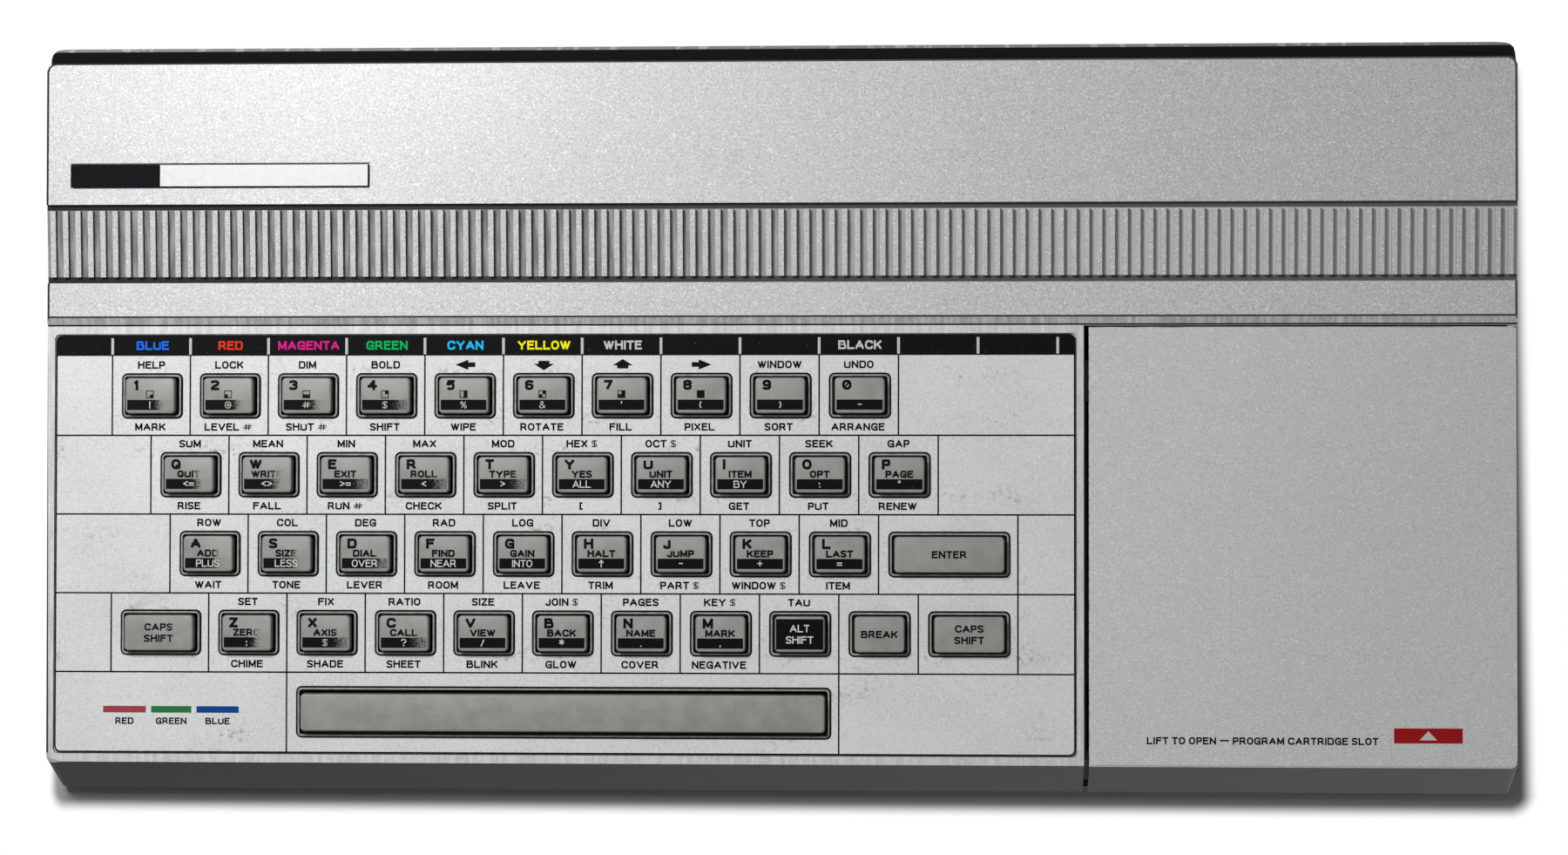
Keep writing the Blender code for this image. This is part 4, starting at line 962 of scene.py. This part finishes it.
inkShape(bm, [plateOutline, roundedOutline(plateLow + inward, plateHigh - inward,
                                           plate["corner"] - line)], printW)
inkBlock(bm, plateLow.x + line, stripLow, plateHigh.x - line, plateHigh.y - line, printW)
rowV = [keySpots[row[0]]["v"] for row in keyRows]
rowV[4] = rowV[3] - keyGrid           # the space bar itself lies a little off the grid
lines = [v - keyGrid / 2 for v in rowV[:4]]
for v in lines:
    inkBlock(bm, plateLow.x, v - line / 2, plateHigh.x, v + line / 2, printW)
cellTops = [stripLow] + lines
cellLows = lines + [plateLow.y]
for index, row in enumerate(keyRows):
    spread = [keySpots[name]["foot"][0] - keySpots["key_1"]["foot"][0] for name in row]
    dividers = [keySpots[row[0]]["x"] - spread[0] / 2 - keyGrid / 2]
    for name, extra in zip(row, spread):
        dividers.append(keySpots[name]["x"] + extra / 2 + keyGrid / 2)
    for x in [divider + printed["shift"] for divider in dividers]:
        inkBlock(bm, x - line / 2, cellLows[index], x + line / 2, cellTops[index], printW)
    for side, sign, shift in (("behind", 1, "shift"), ("before", -1, "lowShift")):
        for name, text in zip(row, plateWords[side][index].split(",")):
            words(bm, text, keySpots[name]["x"] + printed[shift],
                  rowV[index] + sign * printed["wordOffset"], printW, printed["wordHeight"])
whiteW = printW + lettering["lift"]
for index in range(printed["ticks"]):
    x = firstX + (index - 0.5) * keyGrid + printed["shift"]
    inkBlock(bm, x - printed["tickWidth"] / 2, stripLow + printed["tickMargin"],
             x + printed["tickWidth"] / 2, plateHigh.y - printed["tickMargin"] - line, whiteW, 1)
for index, text in stripWords.items():
    ink = "whiteInk" if text == "BLACK" else text.lower() + "Ink"
    words(bm, text, firstX + index * keyGrid, (stripLow + plateHigh.y) / 2, whiteW,
          printed["stripWordHeight"], printed["stripStroke"], printMaterials.index(ink))
longArrow = [(-2.3, -0.55), (-0.7, -0.55), (-0.7, -1.2), (2.3, 0.0), (-0.7, 1.2), (-0.7, 0.55),
             (-2.3, 0.55)]            # in mm, as it points right
shortArrow = [(-0.9, -1.3), (-0.2, -1.3), (-0.2, -2.4), (1.3, 0.0), (-0.2, 2.4), (-0.2, 1.3),
              (-0.9, 1.3)]


def arrowOutline(x, v, turn, shape):
    sine, cosine = math.sin(math.radians(turn)), math.cos(math.radians(turn))
    scale = printed["arrowScale"] * mm
    return [(x + scale * (a * cosine - b * sine), v + scale * (a * sine + b * cosine))
            for a, b in shape]


inkShape(bm, [arrowOutline(keySpots[name]["x"], rowV[0] + printed["wordOffset"], turn, shape)
              for name, turn, shape in (("key_5", 180, longArrow), ("key_6", 270, shortArrow),
                                        ("key_7", 90, shortArrow), ("key_8", 0, longArrow))], printW)

bars = {
    "left": -12.4 * mm,               # from the middle of the first key
    "widths": {"RED": 11.1 * mm, "GREEN": 10.4 * mm, "BLUE": 10.9 * mm},
    "gap": 1.35 * mm,
    "low": 12.6 * mm,
    "high": 14.3 * mm,
    "wordV": 10.5 * mm,
    "wordHeight": 1.7 * mm,
}
barX = firstX + bars["left"]
for text, width in bars["widths"].items():
    inkBlock(bm, barX, bars["low"], barX + width, bars["high"], printW,
             printMaterials.index(text.lower() + "Bar"))
    words(bm, text, barX + width / 2, bars["wordV"], printW, bars["wordHeight"])
    barX += width + bars["gap"]
piece("plate_print", bm, printMaterials, "case", matrix=planeMatrix,
      smooth=plate["smooth"])
print("plate print made")

# Key caps with their legends: the word over a key's strip, and the sign on the strip
capWords = {
    "q": ("QUIT", "<="), "w": ("WRITE", "<>"), "e": ("EXIT", ">="), "r": ("ROLL", "<"),
    "t": ("TYPE", ">"), "y": ("YES", "ALL"), "u": ("UNIT", "ANY"), "i": ("ITEM", "BY"),
    "o": ("OPT", ";"), "p": ("PAGE", "\""), "a": ("ADD", "PLUS"), "s": ("SIZE", "LESS"),
    "d": ("DIAL", "OVER"), "f": ("FIND", "NEAR"), "g": ("GAIN", "INTO"), "h": ("HALT", "^"),
    "j": ("JUMP", "-"), "k": ("KEEP", "+"), "l": ("LAST", "="), "z": ("ZERO", ":"),
    "x": ("AXIS", "$"), "c": ("CALL", "?"), "v": ("VIEW", "/"), "b": ("BACK", "*"),
    "n": ("NAME", ","), "m": ("MARK", "."),
}
capWords.update((digit, ("", sign)) for digit, sign in zip("1234567890", "!@#$%&'()-"))
plainCaps = {"enter": "ENTER", "shift_left": "CAPS SHIFT", "shift_right": "CAPS SHIFT",
             "break": "BREAK", "space": ""}
wornCaps = {"keyInkBare": "1 2 3 q w a s z".split(), "keyInkWorn": "4 e r d x c t shift_left".split()}
legend = {
    "letterX": -4.45 * mm,
    "letterV": 2.65 * mm,
    "letterHeight": 2.6 * mm,
    "letterStroke": 0.27,
    "wordV": 0.15 * mm,
    "wordHeight": 1.85 * mm,
    "wordStroke": 0.255,
    "wordGap": 0.75,
    "stripV": -2.4 * mm,
    "stripHalf": (5.85 * mm, 1.3 * mm),
    "signHeight": 1.85 * mm,
    "signStroke": 0.145,
    "signGap": 0.9,
    "plainHeight": 1.9 * mm,
    "plainStroke": 0.23,
    "plainPitch": 2.9 * mm,
    "squareV": 0.3 * mm,
    "squareSide": 2.0 * mm,
    "squareLine": 2.0 / 9 * mm,
    "blockHalf": (6.0 * mm, 3.85 * mm),
    "blockStroke": 0.17,              # of white words on the dark block of the symbol shift
}
squares = {                           # filled quarters: the two in front, then the two behind
    "1": "0100", "2": "1000", "3": "1100", "4": "0001", "5": "0101", "6": "1001", "7": "1101",
    "8": "1111",
}


def capBody(bm, spot):
    footX, footV = (size / 2 for size in spot["foot"])
    reach = cap["flangeReach"]
    block(bm, (-footX - reach, -footV - reach, cap["flangeBottom"]),
          (footX + reach, footV + reach, cap["flangeTop"]), cap["corner"])
    block(bm, (-footX, -footV, cap["flangeTop"]), (footX, footV, cap["height"]), cap["corner"], 4)
    top = max(bm.faces, key=lambda face: face.calc_center_median().z)
    leanV = cap["barLeanV"] if footX > cap["barShape"] * footV else cap["leanV"]
    bmesh.ops.scale(bm, verts=top.verts, vec=(1.0 - cap["leanX"] / footX, 1.0 - leanV / footV, 1.0))
    rounded(bm, list(top.edges), cap["edge"], 3)


def plainWords(bm, text, w, stroke, material):    # one word to a row
    rows = text.split()
    for index, word in enumerate(rows):
        v = ((len(rows) - 1) / 2 - index) * legend["plainPitch"]
        words(bm, word, 0.0, v, w, legend["plainHeight"], stroke, material)


def capLegend(bm, key):               # materials: 0 cap, 1 black ink, 2 white ink
    inkW = cap["height"] + lettering["lift"]
    overW = inkW + lettering["lift"]
    if key == "symbol_shift":
        halfX, halfV = legend["blockHalf"]
        inkBlock(bm, -halfX, -halfV, halfX, halfV, inkW, 1)
        plainWords(bm, "ALT SHIFT", overW, legend["blockStroke"], 2)
        return
    if key in plainCaps:
        plainWords(bm, plainCaps[key], inkW, legend["plainStroke"], 1)
        return
    word, sign = capWords[key]
    words(bm, key.upper(), legend["letterX"], legend["letterV"], inkW, legend["letterHeight"],
          legend["letterStroke"], 1, "LEFT")
    halfX, halfV = legend["stripHalf"]
    inkBlock(bm, -halfX, legend["stripV"] - halfV, halfX, legend["stripV"] + halfV, inkW, 1)
    words(bm, sign, 0.0, legend["stripV"], overW, legend["signHeight"], legend["signStroke"], 2,
          gap=legend["signGap"])
    words(bm, word, 0.0, legend["wordV"], inkW, legend["wordHeight"], legend["wordStroke"], 1,
          gap=legend["wordGap"])
    if key in squares:
        side, line = legend["squareSide"], legend["squareLine"]
        lowX, lowV = -side / 2, legend["squareV"] - side / 2
        inkShape(bm, [boxOutline((lowX, lowV), (lowX + side, lowV + side)),
                      boxOutline((lowX + line, lowV + line),
                                 (lowX + side - line, lowV + side - line))], inkW, 1)
        cell = side / 2 - line
        for index, filled in enumerate(squares[key]):
            if filled == "1":
                x = lowX + line + (index % 2) * cell
                v = lowV + line + (index // 2) * cell
                inkBlock(bm, x, v, x + cell, v + cell, inkW, 1)


for name, spot in keySpots.items():
    key = name[4:]
    bm = bmesh.new()
    capBody(bm, spot)
    capLegend(bm, key)
    for layer in list(bm.loops.layers.uv.values()):
        bm.loops.layers.uv.remove(layer)
    across = bm.loops.layers.uv.new("face")
    for face in bm.faces:
        for loop in face.loops:
            loop[across].uv = [loop.vert.co[axis] / spot["foot"][axis] + 0.5 for axis in (0, 1)]
    ink = next((finish for finish, keys in wornCaps.items() if key in keys), "keyInk")
    place = planeMatrix @ Matrix.Translation((spot["x"], spot["v"], 0.0))
    piece("cap_" + key, bm, ["cap", ink, "keyWhite"], name, [name], place)
print("key caps made:", len(keySpots))

# Name plate: a bare dark field, and a bare bright one with a thin dark line round it
badge = {"split": 0.3, "line": 0.22 * mm, "corner": 0.3 * mm, "raise": 0.03 * mm}
low, high = planeBox("nameplate")
bm = bmesh.new()
block(bm, low, (high.x, high.y, high.z - badge["raise"]), badge["corner"])
block(bm, (low.x + (high.x - low.x) * badge["split"], low.y + badge["line"],
           high.z - 2 * badge["raise"]),
      (high.x - badge["line"], high.y - badge["line"], high.z), material=1)
piece("name_badge", bm, ["badgeBlack", "badgeSilver"], "case", ["nameplate"],
      planeMatrix)

# Print on the cartridge cover
coverPrint = {
    "left": 94.2 * mm,
    "v": 6.45 * mm,
    "height": 1.85 * mm,
    "stroke": 0.22,
    "gap": 1.1,
    "blockLow": (156.3 * mm, 6.0 * mm),
    "blockHigh": (173.5 * mm, 9.8 * mm),
    "pointer": [(-2.2 * mm, -1.1 * mm), (2.2 * mm, -1.1 * mm), (0.0, 1.2 * mm)],
}
bm = bmesh.new()
printW = lettering["lift"]
words(bm, "LIFT TO OPEN – PROGRAM CARTRIDGE SLOT", coverPrint["left"], coverPrint["v"], printW,
      coverPrint["height"], coverPrint["stroke"], 0, "LEFT", coverPrint["gap"])
inkBlock(bm, *coverPrint["blockLow"], *coverPrint["blockHigh"], printW, 1)
x, v = [(low + high) / 2 for low, high in zip(coverPrint["blockLow"], coverPrint["blockHigh"])]
inkShape(bm, [[(x + a, v + b) for a, b in coverPrint["pointer"]]], printW + lettering["thickness"], 2)
piece("cover_print", bm, ["blackInk", "cover_redBar", "whiteInk"], "cartridge_door",
      matrix=planeMatrix)
print("badge and cover print made")

# Rear jacks, edge contacts and sockets
jackLow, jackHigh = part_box("jack_block")
boardLow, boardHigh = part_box("main_board")
modLow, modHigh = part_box("rf_modulator")
jacks = {
    "pitch": 17.0 * mm,
    "faceY": boardHigh.y - 7.3 * mm,  # rear face of the jack block
    "z": 20.9 * mm,
    # small jacks: places in pitches from the middle of the block, with radius and wall in mm
    "small": ((-1.5, 3.1, 0.35), (-0.5, 1.8, 0.45), (0.5, 1.8, 0.45)),
    "overlap": 0.1,                   # mm that a small jack's lip covers of its bore
    "lip": 0.35 * mm,
    "lipEdge": 0.06 * mm,
    "ring": (4.32 * mm, 4.1 * mm),    # outer and inner radius of a round jack's sleeve
    "ringEdge": 0.1 * mm,
    "hub": (2.1 * mm, 1.7 * mm),
    "hubEdge": 0.08 * mm,
    "reach": 8.2 * mm,
}


def tube(bm, x, radii, reach, lowW, highW, edge):    # stands out of the jack block's face
    outlines = [roundedOutline((x - radius, -radius), (x + radius, radius), radius, 9)
                for radius in radii]
    stand = Matrix.Translation((0.0, jacks["faceY"] + reach, jacks["z"]))
    flatSolid(bm, outlines, lowW, highW, edge, matrix=stand @ Matrix.Rotation(math.pi / 2, 4, "X"))


jackMiddle = (jackLow.x + jackHigh.x) / 2
bm = bmesh.new()
for offset, radius, wall in jacks["small"]:
    radii = ((radius + wall) * mm, (radius - jacks["overlap"]) * mm)
    tube(bm, jackMiddle + offset * jacks["pitch"], radii, 0.0, -jacks["lip"], jacks["lip"],
         jacks["lipEdge"])
half = jacks["reach"] / 2
for x in (jackMiddle + 1.5 * jacks["pitch"], (modLow.x + modHigh.x) / 2):
    tube(bm, x, jacks["ring"], half, -half, half - jacks["ringEdge"], jacks["ringEdge"])
    tube(bm, x, jacks["hub"], half, -half - jacks["hubEdge"], 0.0, jacks["hubEdge"])
piece("jack_sleeves", bm, ["nickel"], "case")

fingers = {
    "left": -166.975 * mm,
    "right": -84.975 * mm,
    "board": 1.6 * mm,
    "count": 31,
    "keySlot": 4,                     # no finger here
    "width": 1.5 * mm,
    "margin": 1.3 * mm,
    "length": 6.5 * mm,
    "setBack": 0.4 * mm,
    "rise": 0.03 * mm,
}
bm = bmesh.new()
span = fingers["right"] - fingers["left"] - 2 * fingers["margin"] - fingers["width"]
for index in range(fingers["count"]):
    if index == fingers["keySlot"]:
        continue
    x = fingers["left"] + fingers["margin"] + index * span / (fingers["count"] - 1)
    for low, high in ((boardLow.z - fingers["rise"], boardLow.z),
                      (boardLow.z + fingers["board"],
                       boardLow.z + fingers["board"] + fingers["rise"])):
        block(bm, (x, boardHigh.y - fingers["length"], low),
              (x + fingers["width"], boardHigh.y - fingers["setBack"], high))
piece("edge_contacts", bm, ["gold"], "case")

ports = {
    "depth": 6.2 * mm,
    "insertHalf": (7.2 * mm, 3.1 * mm),
    "insert": (-0.4 * mm, 0.7 * mm),
    "insertEdge": 0.1 * mm,
    "taper": 1.1 * mm,
    "rows": {1: 5, -1: 4},            # pins in the upper and in the lower row
    "rowGap": 1.42 * mm,
    "pinPitch": 2.74 * mm,
    "pinReach": 3.9 * mm,
    "pinRadius": 0.5 * mm,
    "pinEdge": 0.12 * mm,
    "nutSpacing": 12.5 * mm,
}
nutParts = (                          # distance out, radius, length, sides and edge
    (1.3 * mm, 2.4 * mm, 2.6 * mm, 6, 0.15 * mm),
    (2.7 * mm, 1.5 * mm, 0.4 * mm, 16, 0.08 * mm),
)
for side, sign in (("left", -1), ("right", 1)):
    portLow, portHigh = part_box("joystick_port_" + side)
    middle = (portLow + portHigh) / 2
    outer = sign * (abs(shellHigh.x) - ports["depth"])
    long, tall = ports["insertHalf"]
    short = long - ports["taper"]
    facing = (Matrix.Translation((outer, middle.y, middle.z))
              @ Matrix.Rotation(sign * math.pi / 2, 4, "Z") @ Matrix.Rotation(math.pi / 2, 4, "X"))
    bm = bmesh.new()
    flatSolid(bm, [[(-short, -tall), (short, -tall), (long, tall), (-long, tall)]], *ports["insert"],
              ports["insertEdge"], matrix=facing)
    for row, count in ports["rows"].items():
        for index in range(count):
            y = middle.y + (index - (count - 1) / 2) * ports["pinPitch"]
            drum(bm, (outer + sign * ports["pinReach"] / 2, y, middle.z + row * ports["rowGap"]),
                 ports["pinRadius"], ports["pinReach"], "X", 12, ports["pinEdge"], 1)
    for end in (-1, 1):
        y = middle.y + end * ports["nutSpacing"]
        for out, radius, length, sides, edge in nutParts:
            drum(bm, (outer + sign * out, y, middle.z), radius, length, "X", sides, edge, 1)
    piece("port_pins_" + side, bm, ["blackPlastic", "nickel"], "case")

# Contacts in the cartridge connector
connectorLow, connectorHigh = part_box("cartridge_connector")
contacts = {
    "count": 25,
    "width": 1.2 * mm,
    "depth": 3.5 * mm,
    "setBack": 0.3 * mm,
    "offset": 0.98 * mm,              # from the middle of the slot
    "thickHalf": 0.12 * mm,
    "margin": 5.0 * mm,
}
bm = bmesh.new()
pitch = (connectorHigh.y - connectorLow.y - 2 * contacts["margin"]) / (contacts["count"] - 1)
for index in range(contacts["count"]):
    y = connectorLow.y + contacts["margin"] + index * pitch
    for side in (-1, 1):
        z = (connectorLow.z + connectorHigh.z) / 2 + side * contacts["offset"]
        block(bm, (connectorHigh.x - contacts["depth"], y - contacts["width"] / 2,
                   z - contacts["thickHalf"]),
              (connectorHigh.x - contacts["setBack"], y + contacts["width"] / 2,
               z + contacts["thickHalf"]))
piece("connector_contacts", bm, ["gold"], "case")

# Case screws, seen from below
screws = {
    "x": 179.275 * mm,
    "rear": 85.829 * mm,
    "front": -82.529 * mm,
    "low": 1.75 * mm,
    "head": 2.6 * mm,
    "headEdge": 0.25 * mm,
    "height": 0.95 * mm,
    "slotHalf": (1.6 * mm, 0.35 * mm),
    "slot": (-0.02 * mm, 0.2 * mm),   # its dark cross, from the face of the head inward
}
bm = bmesh.new()
for x in (-screws["x"], screws["x"]):
    for y in (screws["rear"], screws["front"]):
        drum(bm, (x, y, screws["low"] + screws["height"] / 2), screws["head"], screws["height"], "Z",
             32, screws["headEdge"])
        lowZ, highZ = (screws["low"] + reach for reach in screws["slot"])
        for halfX, halfY in (screws["slotHalf"], screws["slotHalf"][::-1]):
            block(bm, (x - halfX, y - halfY, lowZ), (x + halfX, y + halfY, highZ), material=1)
piece("case_screws", bm, ["steel", "blackPlastic"], "case")
print("sockets, contacts and screws made")

# Stage: camera as the photograph's, soft lamps, plain surroundings and a pale floor
view = {
    "place": (0.05592, -0.14110, 1.02196),
    "turn": (7.932, 3.043, 0.413),    # degrees
    "lens": 90.33,
    "sensor": 36.0,
}
camera = bpy.data.cameras.new("camera")
camera.lens = view["lens"]
camera.sensor_width = view["sensor"]
holder = link("camera", camera)
holder.location = view["place"]
holder.rotation_euler = [math.radians(angle) for angle in view["turn"]]
bpy.context.scene.camera = holder

lamps = {
    "key": {"place": (-0.22, 0.16, 0.57), "aim": (-0.06, -0.32, 0.03), "size": 0.18, "power": 3.2},
    "front": {"place": (0.50, -0.50, 0.22), "aim": (0.12, -0.05, 0.02), "size": 0.3, "power": 0.5},
}
for name, lamp in lamps.items():
    light = bpy.data.lights.new(name, "AREA")
    light.shape = "DISK"
    light.size = lamp["size"]
    light.energy = lamp["power"]
    holder = link(name, light)
    holder.location = lamp["place"]
    way = Vector(lamp["aim"]) - Vector(lamp["place"])
    holder.rotation_euler = way.to_track_quat("-Z", "Y").to_euler()


def grey(level):
    return (level, level, level, 1.0)


studio = {"light": 0.13, "seen": 1.0}  # the surroundings as a lamp, and where they are seen
world = bpy.data.worlds.new("studio")
bpy.context.scene.world = world
world.use_nodes = True
around = Nodes(world.node_tree)
seen = around.node("ShaderNodeLightPath", output="Is Camera Ray")
for ray in ("Is Transmission Ray", "Is Glossy Ray"):
    seen = seen.maths("MAXIMUM", around.node("ShaderNodeLightPath", output=ray))
around.feed(around.tree.nodes["Background"].inputs["Color"],
            around.mix(seen, grey(studio["light"]), grey(studio["seen"])))

floorPlan = {
    "radius": 8.0,
    # the floor's own colour, kept dark so that beside the case it adds painted shade to the cast
    # shadow
    "base": 0.34,
    "shadowStart": 2.6 * mm,          # full shadow, cast and painted, up to here beside the case, none past the end
    "shadowEnd": 6.8 * mm,
    "leftShare": 1.6,                 # the shadow is narrower at the left
    "rightShare": 0.87,
}


def floorLook():
    look = Look("pale_floor", Base_Color=grey(floorPlan["base"]), Roughness=0.9)
    x, y, _ = look.split(look.place)
    right = (x - shellHigh.x).maths("MAXIMUM", 0.0) * floorPlan["rightShare"]
    outX = right + (shellLow.x - x).maths("MAXIMUM", 0.0) * floorPlan["leftShare"]
    outY = (y.maths("ABSOLUTE") - shellHigh.y).maths("MAXIMUM", 0.0)
    away = (outX * outX + outY * outY).maths("SQRT")
    ray = look.node("ShaderNodeLightPath", output="Is Camera Ray")
    glossy = look.node("ShaderNodeLightPath", output="Is Glossy Ray")
    # Near the case the camera sees the lit dark floor, painted shade over the cast shadow; farther
    # out, plain white.
    plain = ray * away.ease(floorPlan["shadowStart"], floorPlan["shadowEnd"])
    share = plain.maths("MAXIMUM", glossy)
    lit = Value(look, look.shader.outputs[0])
    white = look.node("ShaderNodeEmission", {}, {"Color": grey(1.0), "Strength": 1.0})
    mixed = look.node("ShaderNodeMixShader", {}, {0: share, 1: lit, 2: white})
    beneath = look.node("ShaderNodeNewGeometry", output="Backfacing")
    clear = look.node("ShaderNodeBsdfTransparent")
    surface = look.node("ShaderNodeMixShader", {}, {0: beneath, 1: mixed, 2: clear})
    look.feed(look.tree.nodes["Material Output"].inputs["Surface"], surface)
    return look.material


bm = bmesh.new()
bmesh.ops.create_circle(bm, cap_ends=True, segments=3, radius=floorPlan["radius"])
mesh = bpy.data.meshes.new("floor")
bm.to_mesh(mesh)
bm.free()
mesh.materials.append(floorLook())
floor = link("floor", mesh)
bpy.context.scene.view_settings.view_transform = "Standard"
print("stage set")
